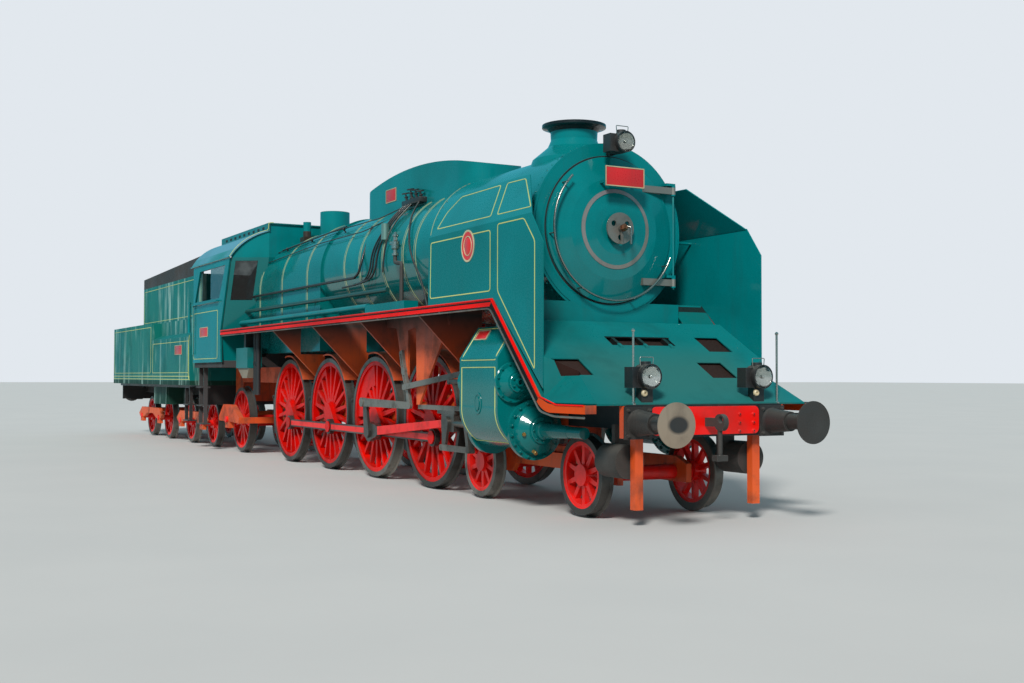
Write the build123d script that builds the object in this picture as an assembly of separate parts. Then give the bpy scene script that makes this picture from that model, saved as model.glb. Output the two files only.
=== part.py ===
from build123d import *
import os
from math import atan2, cos, degrees, hypot, radians, sin, sqrt

# Express steam locomotive with eight driving wheels and an eight-wheeled tender, in millimetres.
# X runs forward, Y to the engine's left and Z up. X=0 is midway between the buffer faces,
# Y=0 the centre line, and Z=0 the lowest point of the wheel flanges.

# Track and wheel sizes
LENGTH_OVER_BUFFERS = 25400
WHEEL_BACK_TO_BACK = 1360
FLANGE_HEIGHT = 28
FLANGE_WIDTH = 32
TYRE_WIDTH = 140
TYRE_THICKNESS = 70
TYRE_SEAT = 0.2
JOURNAL_GAP = 0.08
SEAT = 0.3

DRIVER_DIAMETER = 1830
DRIVER_SPACING = 2025
DRIVER_COUNT = 4
DRIVER_SPOKES = 18
MAIN_DRIVER = 1
DRIVER_AXLE_RADIUS = 105
CRANK_RADIUS = 340
CRANK_ANGLE_RIGHT = -40
CRANK_QUARTERING = -90
CRANK_PIN_RADIUS = 75

LEADING_DIAMETER = 880
LEADING_WHEELBASE = 2425
LEADING_SPOKES = 10
TRAILING_DIAMETER = 1300
TRAILING_SPOKES = 12
TENDER_WHEEL_DIAMETER = 1000
TENDER_BOGIE_WHEELBASE = 1900
TENDER_BOGIE_SPACING = 4100
CARRYING_AXLE_RADIUS = 85

# Places along the engine, measured from the first driving axle
BUFFER_FACE_TO_DRIVER = 5800
FIRST_DRIVER = LENGTH_OVER_BUFFERS / 2 - BUFFER_FACE_TO_DRIVER
LEADING_BOGIE_AHEAD = 2722
TRAILING_AXLE_BEHIND = 9136
DRAWBAR_PIN_BEHIND = 10300
TENDER_FRONT_BEHIND = 10650
TENDER_BOGIE_SETBACK = 1600


def ahead(distance):
    """X of a point so far ahead of the first driving axle."""
    return FIRST_DRIVER + distance


def up(height):
    """Z of a point at this height above the rails."""
    return FLANGE_HEIGHT + height


DRIVER_X = [ahead(-DRIVER_SPACING * i) for i in range(DRIVER_COUNT)]
LEADING_BOGIE_X = ahead(LEADING_BOGIE_AHEAD)
LEADING_X = [LEADING_BOGIE_X + LEADING_WHEELBASE / 2, LEADING_BOGIE_X - LEADING_WHEELBASE / 2]
TRAILING_X = ahead(-TRAILING_AXLE_BEHIND)
TENDER_FRONT = ahead(-TENDER_FRONT_BEHIND)
TENDER_BOGIE_X = [TENDER_FRONT - TENDER_BOGIE_SETBACK,
                  TENDER_FRONT - TENDER_BOGIE_SETBACK - TENDER_BOGIE_SPACING]
DRAWBAR_X = ahead(-DRAWBAR_PIN_BEHIND)
DRIVER_Z = up(DRIVER_DIAMETER / 2)
LEADING_Z = up(LEADING_DIAMETER / 2)
TRAILING_Z = up(TRAILING_DIAMETER / 2)
TENDER_WHEEL_Z = up(TENDER_WHEEL_DIAMETER / 2)

# Distances from the centre line
WHEEL_BACK = WHEEL_BACK_TO_BACK / 2
TYRE_FACE = WHEEL_BACK + TYRE_WIDTH
FRAME_INNER = 500
FRAME_OUTER = 590
CRANK_BOSS_FACE = TYRE_FACE + 25
ROD_GAP = 6
SIDE_ROD_THICKNESS = 70
SIDE_ROD_INNER = CRANK_BOSS_FACE + ROD_GAP
SIDE_ROD_OUTER = SIDE_ROD_INNER + SIDE_ROD_THICKNESS
PIN_CAP = 14
PIN_SPLIT_GAP = 8
MAIN_ROD_THICKNESS = 70
PIN_CAP_FACE = SIDE_ROD_OUTER + ROD_GAP + PIN_CAP
MAIN_ROD_INNER = PIN_CAP_FACE + PIN_SPLIT_GAP + ROD_GAP
MAIN_ROD_OUTER = MAIN_ROD_INNER + MAIN_ROD_THICKNESS
CYLINDER_Y = (MAIN_ROD_INNER + MAIN_ROD_OUTER) / 2
HALF_WIDTH = 1500

# Heights above the rails
FRAME_TOP = 1230
FRAME_BOTTOM = 760
FRAME_BOTTOM_OVER_BOGIE = 960
BOARD_TOP = 2420
BOARD_EDGE = 90
PLATFORM_TOP = 1240
BUFFER_HEIGHT = 1055
BOILER_HEIGHT = 3270
CYLINDER_HEIGHT = DRIVER_DIAMETER / 2

# Boiler and smokebox
BOILER_RADIUS = 930
SMOKEBOX_RADIUS = 1010
SMOKEBOX_WALL = 20
SMOKEBOX_FRONT = ahead(3250)
SMOKEBOX_LENGTH = 2900
DOOR_RADIUS = 870
DOOR_OPENING = 800
FIREBOX_FRONT = ahead(-4100)
CAB_CORNER_LOW = ahead(-8300)
CAB_CORNER_TOP = ahead(-7680)
CAB_V_DEPTH = 400
CAB_REAR = ahead(-10400)
CAB_WALL = 40


def block(x0, x1, y0, y1, z0, z1):
    """Box between two corners."""
    return Pos((x0 + x1) / 2, (y0 + y1) / 2, (z0 + z1) / 2) * Box(x1 - x0, y1 - y0, z1 - z0)


def rod_x(radius, x0, x1, y, z):
    """Round bar along X."""
    return Pos((x0 + x1) / 2, y, z) * Rot(0, 90, 0) * Cylinder(radius, x1 - x0)


def rod_y(radius, x, y0, y1, z):
    """Round bar along Y."""
    return Pos(x, (y0 + y1) / 2, z) * Rot(90, 0, 0) * Cylinder(radius, y1 - y0)


def rod_z(radius, x, y, z0, z1):
    """Round bar along Z."""
    return Pos(x, y, (z0 + z1) / 2) * Cylinder(radius, z1 - z0)


def side_plane(x, y, z):
    """Drawing plane seen from the engine's right: local x is forward and local y is up."""
    return Plane(origin=(x, y, z), x_dir=(1, 0, 0), z_dir=(0, -1, 0))


def side_plate(sketch, y0, y1, x=0, z=0):
    """Sketch in the XZ plane made a plate from y0 to y1."""
    return extrude(side_plane(x, y1, z) * sketch, amount=y1 - y0, dir=(0, -1, 0))


def cross_plane(x, y=0, z=0):
    """Drawing plane seen from the front: local x is the engine's left and local y is up."""
    return Plane(origin=(x, y, z), x_dir=(0, 1, 0), z_dir=(1, 0, 0))


def cross_plate(sketch, x0, x1, y=0, z=0):
    """Sketch in the YZ plane made a plate from x0 to x1."""
    return extrude(cross_plane(x0, y, z) * sketch, amount=x1 - x0, dir=(1, 0, 0))


def layer(side, inner, outer):
    """The two y values of a layer on side -1 or 1, in rising order."""
    return sorted((side * inner, side * outer))


def strap_shape(first, last, first_radius, last_radius):
    """Tapered bar with round ends in the XZ plane."""
    return make_hull([*(Pos(*first) * Circle(first_radius)).edges(), *(Pos(*last) * Circle(last_radius)).edges()])


def lower_meeting(first, first_reach, second, second_reach):
    """Lower of the two points at these distances from two points, the second one ahead of the first."""
    gap = hypot(second[0] - first[0], second[1] - first[1])
    ux, uz = (second[0] - first[0]) / gap, (second[1] - first[1]) / gap
    along = (first_reach ** 2 - second_reach ** 2 + gap ** 2) / (2 * gap)
    off = sqrt(first_reach ** 2 - along ** 2)
    return first[0] + along * ux + off * uz, first[1] + along * uz - off * ux


def flat_plate(sketch, z0, z1, x=0, y=0):
    """Sketch in the XY plane made a plate from z0 to z1."""
    return extrude(Pos(x, y, z0) * sketch, amount=z1 - z0, dir=(0, 0, 1))


def outline(*points):
    """Closed polygon through points."""
    return Polygon(*points, align=None)


def both_sides(part):
    """A piece on the engine's right and its mirror image on the left."""
    return [part, mirror(part, about=Plane.XZ)]


def fuse(pieces):
    """One shape from many that touch."""
    result = pieces[0]
    for piece in pieces[1:]:
        result = result + piece
    return result


def spun_y(profile, x, z):
    """Profile of (radius, y) points turned about the wheel axis."""
    face = Plane(origin=(x, 0, z), x_dir=(1, 0, 0), z_dir=(0, 0, 1)) * outline(*profile)
    return revolve(face, axis=Axis((x, 0, z), (0, 1, 0)), revolution_arc=360)


def spun_x(profile, y, z):
    """Profile of (x, radius) points turned about an axis along X."""
    face = Plane(origin=(0, y, z), x_dir=(1, 0, 0), z_dir=(0, -1, 0)) * outline(*profile)
    return revolve(face, axis=Axis((0, y, z), (1, 0, 0)), revolution_arc=360)


def spun_z(profile, x, y):
    """Profile of (radius, z) points turned about a vertical axis."""
    face = Plane(origin=(x, y, 0), x_dir=(1, 0, 0), z_dir=(0, -1, 0)) * outline(*profile)
    return revolve(face, axis=Axis((x, y, 0), (0, 0, 1)), revolution_arc=360)


def polar(radius, angle):
    """Point in a wheel's plane, angle up from forward."""
    return radius * cos(radians(angle)), radius * sin(radians(angle))


def crank_angle(side):
    """Angle of the crank on the right, side -1, or on the left, side 1."""
    return CRANK_ANGLE_RIGHT if side < 0 else CRANK_ANGLE_RIGHT + CRANK_QUARTERING


def tyre_profile(radius, inner):
    """Half section of a left tyre as (radius, y) points, its flange on the inside."""
    crown = radius + FLANGE_HEIGHT
    face = TYRE_FACE
    back = WHEEL_BACK
    return [
        (inner, back),
        (crown - 12, back),
        (crown, back + 8),
        (crown, back + FLANGE_WIDTH - 16),
        (radius, back + FLANGE_WIDTH),
        (radius - 4, face),
        (inner, face),
    ]


def spoke(inner, outer, root_width, tip_width, angle):
    """Tapered spoke in the wheel's plane."""
    shape = outline((inner, -root_width / 2), (outer, -tip_width / 2), (outer, tip_width / 2), (inner, root_width / 2))
    return Rot(0, 0, angle) * shape


# Wheels with their axles
def spoked_centre(radius, rim, hub, spokes, widths, side, x, z, extra=None):
    """One spoked wheel centre on side -1 or 1, inside a tyre seat of this radius."""
    lean_y = (WHEEL_BACK + 15, TYRE_FACE - 10)
    spoke_y = (WHEEL_BACK + 35, TYRE_FACE - 35)
    ring = Circle(radius) - Circle(radius - rim)
    arms = Circle(hub)
    for i in range(spokes):
        arms = arms + spoke(hub * 0.7, radius - rim / 2, widths[0], widths[1], 360 / spokes * (i + 0.5))
    if extra is not None:
        arms = arms + extra
    pieces = [
        side_plate(ring, *sorted(side * y for y in lean_y), x, z),
        side_plate(arms, *sorted(side * y for y in spoke_y), x, z),
        side_plate(Circle(hub), *sorted(side * y for y in (WHEEL_BACK - 20, TYRE_FACE + 5)), x, z),
    ]
    return fuse(pieces)


def driving_wheels(index):
    """Both wheel centres of a driving axle, with axle, crank bosses, pins and balance weights."""
    x = DRIVER_X[index]
    seat = DRIVER_DIAMETER / 2 - TYRE_THICKNESS
    rim = 62
    pieces = [rod_y(DRIVER_AXLE_RADIUS, x, -TYRE_FACE, TYRE_FACE, DRIVER_Z)]
    heavy = index == MAIN_DRIVER
    weight_half_angle = 42 if heavy else 30
    weight_inner = seat * (0.45 if heavy else 0.62)
    for side in (-1, 1):
        angle = crank_angle(side)
        sector = outline((0, 0), polar(2 * seat, angle + 180 - weight_half_angle), polar(2 * seat, angle + 180),
                         polar(2 * seat, angle + 180 + weight_half_angle))
        weight = (Circle(seat - rim / 2) - Pos(*polar(-weight_inner * 0.35, angle)) * Circle(weight_inner)) & sector
        boss = make_hull([*Circle(165).edges(), *(Pos(*polar(CRANK_RADIUS, angle)) * Circle(125)).edges()])
        pieces.append(spoked_centre(seat - TYRE_SEAT, rim, 190, DRIVER_SPOKES, (78, 46), side, x, DRIVER_Z, weight))
        pieces.append(side_plate(boss, *sorted(side * y for y in (WHEEL_BACK + 40, CRANK_BOSS_FACE)), x, DRIVER_Z))
        px, pz = polar(CRANK_RADIUS, angle)
        pin_y = sorted(side * y for y in (TYRE_FACE - 60, SIDE_ROD_OUTER + ROD_GAP))
        cap_y = sorted(side * y for y in (SIDE_ROD_OUTER + ROD_GAP, PIN_CAP_FACE))
        pieces.append(rod_y(CRANK_PIN_RADIUS, x + px, *pin_y, DRIVER_Z + pz))
        pieces.append(rod_y(CRANK_PIN_RADIUS + 18, x + px, *cap_y, DRIVER_Z + pz))
    return fuse(pieces)


def driving_tyres(index):
    """The two tyres of a driving axle."""
    radius = DRIVER_DIAMETER / 2
    left = spun_y(tyre_profile(radius, radius - TYRE_THICKNESS), DRIVER_X[index], DRIVER_Z)
    return Compound(both_sides(left))


def carrying_wheels(diameter, spokes, x, z, journal):
    """A carrying wheelset in one piece: tyres, spoked centres and axle with its outer journals."""
    radius = diameter / 2
    seat = radius - TYRE_THICKNESS
    pieces = [rod_y(CARRYING_AXLE_RADIUS, x, -TYRE_FACE, TYRE_FACE, z)]
    if journal > TYRE_FACE:
        pieces.append(rod_y(CARRYING_AXLE_RADIUS * 0.75, x, -journal, journal, z))
    tyre = spun_y(tyre_profile(radius, seat - 1), x, z)
    pieces += both_sides(tyre)
    for side in (-1, 1):
        pieces.append(spoked_centre(seat, 45, 120, spokes, (62, 42), side, x, z))
    return fuse(pieces)


# Side rods: rigid bars whose eyes run on the four crank pins
def side_rod(side):
    px, pz = polar(CRANK_RADIUS, crank_angle(side))
    bar_half = 62
    eye = 125
    first, last = DRIVER_X[0] + px, DRIVER_X[-1] + px
    shape = Pos((first + last) / 2, 0) * Rectangle(first - last, 2 * bar_half)
    for x in DRIVER_X:
        shape = shape + Pos(x + px, 0) * Circle(eye)
    for x in (DRIVER_X[0] + px - eye - 200, DRIVER_X[2] + px - eye - 200):
        shape = shape + Pos(x, 0) * Circle(bar_half + 18)
    for x in DRIVER_X:
        shape = shape - Pos(x + px, 0) * Circle(CRANK_PIN_RADIUS + JOURNAL_GAP)
    return side_plate(shape, *sorted(side * y for y in (SIDE_ROD_INNER, SIDE_ROD_OUTER)), 0, DRIVER_Z + pz)


# Main frames: two bar frames tied by stretchers, with the bogie pivot and the drag box
FRAME_FRONT = ahead(5050)
BRACKET_X = [ahead(1030)] + [x - DRIVER_SPACING / 2 for x in DRIVER_X[:-1]]
FRAME_REAR = CAB_REAR + 60
AXLEBOX_HALF = 170
PIVOT_RADIUS = 90
PIVOT_PLATE = 200
TRUCK_PIN_RADIUS = 55
BOGIE_PLATE_TOP = 700
REAR_FRAME_TOP = 1700
REAR_FRAME_BOTTOM = 1400


def main_frames():
    stub = DRIVER_X[-1] - 900
    side = outline(
        (FRAME_FRONT, up(FRAME_TOP)),
        (stub, up(FRAME_TOP)),
        (stub - 350, up(REAR_FRAME_TOP)),
        (FRAME_REAR, up(REAR_FRAME_TOP)),
        (FRAME_REAR, up(REAR_FRAME_BOTTOM)),
        (stub - 250, up(REAR_FRAME_BOTTOM)),
        (stub, up(FRAME_BOTTOM + 60)),
        (stub + 300, up(FRAME_BOTTOM)),
        (DRIVER_X[0] + 700, up(FRAME_BOTTOM)),
        (DRIVER_X[0] + 900, up(FRAME_BOTTOM_OVER_BOGIE)),
        (FRAME_FRONT, up(FRAME_BOTTOM_OVER_BOGIE)),
    )
    for x in DRIVER_X:
        side = side - Pos(x, DRIVER_Z) * Circle(DRIVER_AXLE_RADIUS + JOURNAL_GAP)
    for x0, x1 in zip(DRIVER_X[1:], DRIVER_X):
        middle = (x0 + x1) / 2
        window = Pos(middle, up((FRAME_TOP + FRAME_BOTTOM) / 2)) * RectangleRounded(1100, 220, 60)
        side = side - window
    plate = side_plate(side, -FRAME_OUTER, -FRAME_INNER)
    pieces = both_sides(plate)
    ties = [(DRIVER_X[i] - DRIVER_SPACING / 2 - 100, DRIVER_X[i] - DRIVER_SPACING / 2 + 100) for i in range(3)]
    for x0, x1 in ties:
        pieces.append(block(x0, x1, -FRAME_INNER, FRAME_INNER, up(FRAME_TOP - 90), up(FRAME_TOP - 30)))
    deck = block(LEADING_BOGIE_X - 400, LEADING_BOGIE_X + 400, -FRAME_INNER, FRAME_INNER,
                 up(FRAME_BOTTOM_OVER_BOGIE), up(FRAME_TOP))
    pivot = rod_z(PIVOT_RADIUS, LEADING_BOGIE_X, 0, up(BOGIE_PLATE_TOP - 180), up(FRAME_BOTTOM_OVER_BOGIE) + 10) \
        + rod_z(PIVOT_PLATE, LEADING_BOGIE_X, 0, up(BOGIE_PLATE_TOP) + SEAT, up(FRAME_BOTTOM_OVER_BOGIE) + 10)
    truck_beam = block(TRUCK_PIVOT_X - 150, TRUCK_PIVOT_X + 150, -FRAME_INNER, FRAME_INNER,
                       up(REAR_FRAME_BOTTOM - 500), up(REAR_FRAME_BOTTOM - 300))
    drag_box = block(DRAWBAR_X - 40, DRAWBAR_X + 500, -FRAME_OUTER, FRAME_OUTER,
                     up(REAR_FRAME_BOTTOM - 400), up(REAR_FRAME_BOTTOM))
    slot = block(DRAWBAR_X - 100, DRAWBAR_X + 200, -200, 200, up(DRAWBAR_HEIGHT - 60), up(DRAWBAR_HEIGHT + 60))
    pin = rod_z(DRAWBAR_PIN_RADIUS, DRAWBAR_X, 0, up(DRAWBAR_HEIGHT - 100), up(DRAWBAR_HEIGHT + 100))
    pieces += [deck, pivot, drag_box - slot, pin]
    hanger = block(TRUCK_PIVOT_X - 60, TRUCK_PIVOT_X + 60, -FRAME_OUTER, -FRAME_INNER,
                   up(REAR_FRAME_BOTTOM - 500), up(REAR_FRAME_BOTTOM - 300) + 400)
    pieces += [truck_beam] + both_sides(hanger)
    pieces.append(rod_z(TRUCK_PIN_RADIUS, TRUCK_PIVOT_X, 0, up(TRUCK_ARM_HEIGHT - 60), up(REAR_FRAME_BOTTOM - 490)))
    pieces.append(rod_z(100, TRUCK_PIVOT_X, 0, up(TRUCK_ARM_HEIGHT) + SEAT, up(REAR_FRAME_BOTTOM - 490)))
    for x in BRACKET_X:
        inner = FIREBOX_HALF + 10 if x < FIREBOX_FRONT + 100 else FRAME_OUTER - 30
        board = up(BOARD_TOP) - BOARD_THICKNESS - SEAT
        gusset = outline((-FRAME_OUTER, up(FRAME_TOP) - 20), (-FRAME_OUTER + 60, up(FRAME_TOP) - 20),
                         (-FRAME_OUTER + 60, up(FIREBOX_BOTTOM) - 40), (-inner, up(FIREBOX_BOTTOM) - 40),
                         (-inner, board), (-HALF_WIDTH + 20, board), (-HALF_WIDTH + 20, board - 90),
                         (-FRAME_OUTER - 60, up(1480)))
        pieces += both_sides(cross_plate(gusset, x - BRACKET_HALF, x + BRACKET_HALF))
    board_under = up(BOARD_TOP) - BOARD_THICKNESS - SEAT
    girder = outline((GIRDER_REAR, board_under - 20), (GIRDER_FRONT, board_under - 20), (GIRDER_FRONT, board_under - 160),
                     (BAR_HANGER_X + 45, up(SLIDE_BAR_TOP) + SEAT), (BAR_HANGER_X - 45, up(SLIDE_BAR_TOP) + SEAT),
                     (BAR_HANGER_X - 70, board_under - 200), (LINK_PIVOT_X + 80, board_under - 240),
                     (LINK_PIVOT_X + 75, up(LINK_PIVOT_HEIGHT) - 60), (LINK_PIVOT_X - 75, up(LINK_PIVOT_HEIGHT) - 60),
                     (LINK_PIVOT_X - 330, board_under - 200), (GIRDER_REAR, board_under - 160))
    pieces += both_sides(side_plate(girder, -GIRDER_OUTER, -GIRDER_INNER))
    foot = block(BAR_HANGER_X - 45, BAR_HANGER_X + 45, -GIRDER_OUTER, -CYLINDER_Y + 35, up(SLIDE_BAR_TOP) + SEAT,
                 up(SLIDE_BAR_TOP) + 40)
    pieces += both_sides(foot)
    guard = block(GUARD_X - 45, GUARD_X + 45, -GUARD_Y - 50, -GUARD_Y + 50, up(GUARD_BOTTOM), up(GUARD_TOP)) \
        + block(GUARD_X - 45, GUARD_X + 45, -GUARD_Y - 50, -FRAME_INNER - 10, up(GUARD_TOP - 20), up(GUARD_TOP + 80))
    pieces += both_sides(guard)
    return fuse(pieces)


BRACKET_HALF = 20
GIRDER_REAR = BRACKET_X[1] - 60
GIRDER_FRONT = BRACKET_X[0] + 60
GIRDER_INNER = MAIN_ROD_OUTER + 10
GIRDER_OUTER = GIRDER_INNER + 30
BAR_HANGER_X = ahead(120)
GUARD_X = ahead(4950)
GUARD_Y = 770
GUARD_BOTTOM = 150
GUARD_TOP = 940
DRAWBAR_HEIGHT = 1150
DRAWBAR_PIN_RADIUS = 45
TRUCK_ARM_LENGTH = 1750
TRUCK_PIVOT_X = TRAILING_X + TRUCK_ARM_LENGTH
TRUCK_ARM_HEIGHT = 720
BEAM_HALF_WIDTH = 1050
BEAM_THICKNESS = 60
BEAM_DEPTH = 340
BEAM_FRONT = FRAME_FRONT + SEAT + BEAM_THICKNESS
BUFFER_SPREAD = 1750
BUFFER_HEAD_RADIUS = 224
BUFFER_FACE = LENGTH_OVER_BUFFERS / 2


def front_beam():
    """Front beam with the plate that carries the draw hook."""
    beam = block(BEAM_FRONT - BEAM_THICKNESS, BEAM_FRONT, -BEAM_HALF_WIDTH, BEAM_HALF_WIDTH,
                 up(PLATFORM_TOP - BEAM_DEPTH), up(PLATFORM_TOP))
    notch = block(BEAM_FRONT - 2 * BEAM_THICKNESS, BEAM_FRONT + 1, -BEAM_HALF_WIDTH, -BOARD_INNER + SEAT,
                  up(PLATFORM_TOP) - BOARD_THICKNESS - SEAT, up(PLATFORM_TOP) + 1)
    for side in both_sides(notch):
        beam = beam - side
    panel = Pos(0, up(PLATFORM_TOP - BEAM_DEPTH / 2)) * RectangleRounded(1400, BEAM_DEPTH - 44, 60)
    return beam + cross_plate(panel, BEAM_FRONT, BEAM_FRONT + 20)


def buffer_unit(x_base, direction, side):
    """A buffer with its base plate, housing, plunger and round head."""
    face = direction * BUFFER_FACE
    y = side * BUFFER_SPREAD / 2
    z = up(BUFFER_HEIGHT)
    base = block(*sorted((x_base, x_base + direction * 30)), y - 165, y + 165, z - 165, z + 165)
    housing = spun_x([(x_base, 0), (x_base, 150), (x_base + direction * 60, 130),
                      (x_base + direction * 330, 105), (x_base + direction * 330, 0)], y, z)
    plunger = rod_x(82, *sorted((x_base + direction * 300, face - direction * 40)), y, z)
    head = spun_x([(face - direction * 55, 0), (face - direction * 55, 90), (face - direction * 22, BUFFER_HEAD_RADIUS),
                   (face - direction * 10, BUFFER_HEAD_RADIUS), (face, 120), (face, 0)], y, z)
    return fuse([base, housing, plunger, head])


def front_coupling():
    """Draw hook with the hanging screw coupling."""
    z = up(BUFFER_HEIGHT)
    x = BEAM_FRONT + 20 + SEAT
    shank = block(x, x + 190, -28, 28, z - 45, z + 45)
    hook = side_plate(Circle(88) - Pos(20, 30) * Circle(38), -28, 28, x + 240, z)
    screw = rod_z(26, x + 215, 0, z - 360, z - 60)
    loop = block(x + 170, x + 260, -70, 70, z - 400, z - 340)
    return fuse([shank, hook, screw, loop])


# Smokebox, boiler and their mountings
def smokebox_shell():
    """Rolled smokebox plate, open at both ends and under the chimney."""
    z = up(BOILER_HEIGHT)
    return rod_x(SMOKEBOX_RADIUS, SMOKEBOX_REAR, SMOKEBOX_FRONT - SMOKEBOX_WALL - SEAT, 0, z) \
        - rod_x(SMOKEBOX_RADIUS - SMOKEBOX_WALL, SMOKEBOX_REAR - 1, SMOKEBOX_FRONT, 0, z) \
        - rod_z(SHELL_HOLE, CHIMNEY_X, 0, z, z + 2 * SMOKEBOX_RADIUS)


def smokebox_ends():
    """Tube plate inside the shell's rear end, and the front ring with the door's hinge lugs."""
    z = up(BOILER_HEIGHT)
    front = SMOKEBOX_FRONT
    outside = SMOKEBOX_RADIUS + SEAT
    ring = spun_x([
        (front - RING_LENGTH, outside), (front - RING_LENGTH, SMOKEBOX_RADIUS + RING_HEIGHT),
        (front - RING_SETBACK, SMOKEBOX_RADIUS + RING_HEIGHT), (front - RING_SETBACK, SMOKEBOX_RADIUS),
        (front, SMOKEBOX_RADIUS), (front, DOOR_OPENING), (front - SMOKEBOX_WALL, DOOR_OPENING),
        (front - SMOKEBOX_WALL, outside)], 0, z)
    lugs = []
    for dz in HINGE_HEIGHTS:
        lug = block(front - 15, HINGE_X + 20, HINGE_Y - 110, HINGE_Y + 20, z + dz + HINGE_HALF + SEAT,
                    z + dz + HINGE_HALF + 30)
        lugs.append(lug + rod_z(HINGE_PIN, HINGE_X, HINGE_Y, z + dz - HINGE_HALF - 10, z + dz + HINGE_HALF + 10))
    plate = rod_x(SMOKEBOX_RADIUS - SMOKEBOX_WALL - SEAT, SMOKEBOX_REAR, SMOKEBOX_REAR + SMOKEBOX_WALL, 0, z)
    return Compound([plate.solid(), fuse([ring] + lugs).solid()])


def smokebox_saddle():
    """Casting between the cylinders that carries the smokebox on the frames."""
    z = up(BOILER_HEIGHT)
    saddle = block(CYLINDER_REAR + 40, CYLINDER_FRONT - 40, -FRAME_OUTER, FRAME_OUTER, up(FRAME_TOP) + SEAT, z - 800)
    return saddle - rod_x(SMOKEBOX_RADIUS + SEAT, SMOKEBOX_REAR, SMOKEBOX_FRONT, 0, z)


def blast_pipe():
    """Upright exhaust pipe on the smokebox floor, below the chimney."""
    z = up(BOILER_HEIGHT)
    pipe = rod_z(BLAST_RADIUS, CHIMNEY_X, 0, z - SMOKEBOX_RADIUS, z - BLAST_DROP)
    return pipe & rod_x(SMOKEBOX_RADIUS - SMOKEBOX_WALL - SEAT, SMOKEBOX_REAR, SMOKEBOX_FRONT, 0, z)


SMOKEBOX_REAR = SMOKEBOX_FRONT - SMOKEBOX_LENGTH
SHELL_HOLE = 380
RING_LENGTH = 110
RING_SETBACK = 10
RING_HEIGHT = 30
BLAST_RADIUS = 140
BLAST_DROP = 250
CHIMNEY_X = ahead(2456)
CHIMNEY_BORE = 230
CHIMNEY_TOP = BOILER_HEIGHT + 1395
CHIMNEY_NECK = 290
CHIMNEY_LIP = 400
CYLINDER_REAR = ahead(2200)
CYLINDER_FRONT = ahead(3170)


def chimney():
    crown = up(BOILER_HEIGHT) + SMOKEBOX_RADIUS
    top = up(CHIMNEY_TOP)
    profile = [
        (CHIMNEY_BORE, crown - 180), (560, crown - 180), (520, crown - 60), (400, crown + 40), (330, crown + 100),
        (CHIMNEY_NECK, crown + 190), (CHIMNEY_NECK + 5, top - 90), (CHIMNEY_NECK + 40, top - 55),
        (CHIMNEY_LIP, top - 35), (CHIMNEY_LIP, top), (CHIMNEY_BORE, top),
    ]
    body = spun_z(profile, CHIMNEY_X, 0)
    return body - rod_x(SMOKEBOX_RADIUS + SEAT, SMOKEBOX_FRONT - SMOKEBOX_LENGTH, SMOKEBOX_FRONT, 0,
                        up(BOILER_HEIGHT))


def boiler_barrel():
    rear = SMOKEBOX_FRONT - SMOKEBOX_LENGTH
    return rod_x(BOILER_RADIUS, FIREBOX_FRONT + SEAT, rear - SEAT, 0, up(BOILER_HEIGHT))


FIREBOX_REAR = CAB_CORNER_LOW - 100
FIREBOX_HALF = 960
FIREBOX_REAR_DROP = 130
FIREBOX_BOTTOM = BOILER_HEIGHT - 1320


def firebox_section(x, half, drop, bottom):
    """Round-topped firebox section at x."""
    centre = up(BOILER_HEIGHT) - drop
    shape = Pos(0, centre) * Circle(half) + Pos(0, (centre + bottom) / 2) * Rectangle(2 * half, centre - bottom)
    return Plane(origin=(x, 0, 0), x_dir=(0, 1, 0), z_dir=(1, 0, 0)) * shape


def firebox():
    """Firebox cladding, tapering down towards the cab."""
    front = firebox_section(FIREBOX_FRONT, FIREBOX_HALF, 0, up(FIREBOX_BOTTOM))
    rear = firebox_section(FIREBOX_REAR, FIREBOX_HALF, FIREBOX_REAR_DROP, up(FIREBOX_BOTTOM))
    return loft([rear, front], ruled=True)


CASING_REAR = ahead(-3450)
CASING_FRONT = ahead(550)
CASING_HALF = 480
CASING_TOP = BOILER_HEIGHT + 1400
CASING_FRONT_TOP = BOILER_HEIGHT + 1180
CASING_REAR_TOP = BOILER_HEIGHT + 1170
CASING_FOOT = BOILER_HEIGHT + 530
CASING_CORNER = CASING_HALF - 60
CASING_REACH = 100


def dome_casing():
    """Long casing over the domes, its top one long arch."""
    length = CASING_FRONT - CASING_REAR
    plan = flat_plate(RectangleRounded(length, 2 * CASING_HALF, CASING_CORNER), up(CASING_FOOT),
                      up(CASING_TOP + CASING_REACH), (CASING_FRONT + CASING_REAR) / 2)
    front, rear = CASING_FRONT + CASING_REACH, CASING_REAR - CASING_REACH
    peak = (CASING_REAR + length * 0.6, up(CASING_TOP))
    sides = Polyline((front, up(CASING_FRONT_TOP)), (front, up(CASING_FOOT)), (rear, up(CASING_FOOT)),
                     (rear, up(CASING_REAR_TOP)))
    crown = ThreePointArc((rear, up(CASING_REAR_TOP)), peak, (front, up(CASING_FRONT_TOP)))
    body = plan & side_plate(make_face([sides, crown]), -CASING_HALF - CASING_REACH, CASING_HALF + CASING_REACH)
    body = body - rod_x(BOILER_RADIUS + SEAT, rear, front, 0, up(BOILER_HEIGHT))
    return body - rod_x(SMOKEBOX_RADIUS + SEAT, SMOKEBOX_FRONT - SMOKEBOX_LENGTH - SEAT, front, 0, up(BOILER_HEIGHT))


MANHOLE_X = ahead(-6000)
MANHOLE_RADIUS = 270
MANHOLE_TOP = BOILER_HEIGHT + 1290
VALVES_X = ahead(-7000)
VALVE_TOP = BOILER_HEIGHT + 1210
VALVE_RADIUS = 75
VALVE_Y = 190
CLACK_X = ahead(-1440)
CLACK_ANGLE = 24
BOX_REAR = ahead(-1400)
BOX_FRONT = ahead(30)
BOX_HEIGHT = 150


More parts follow.
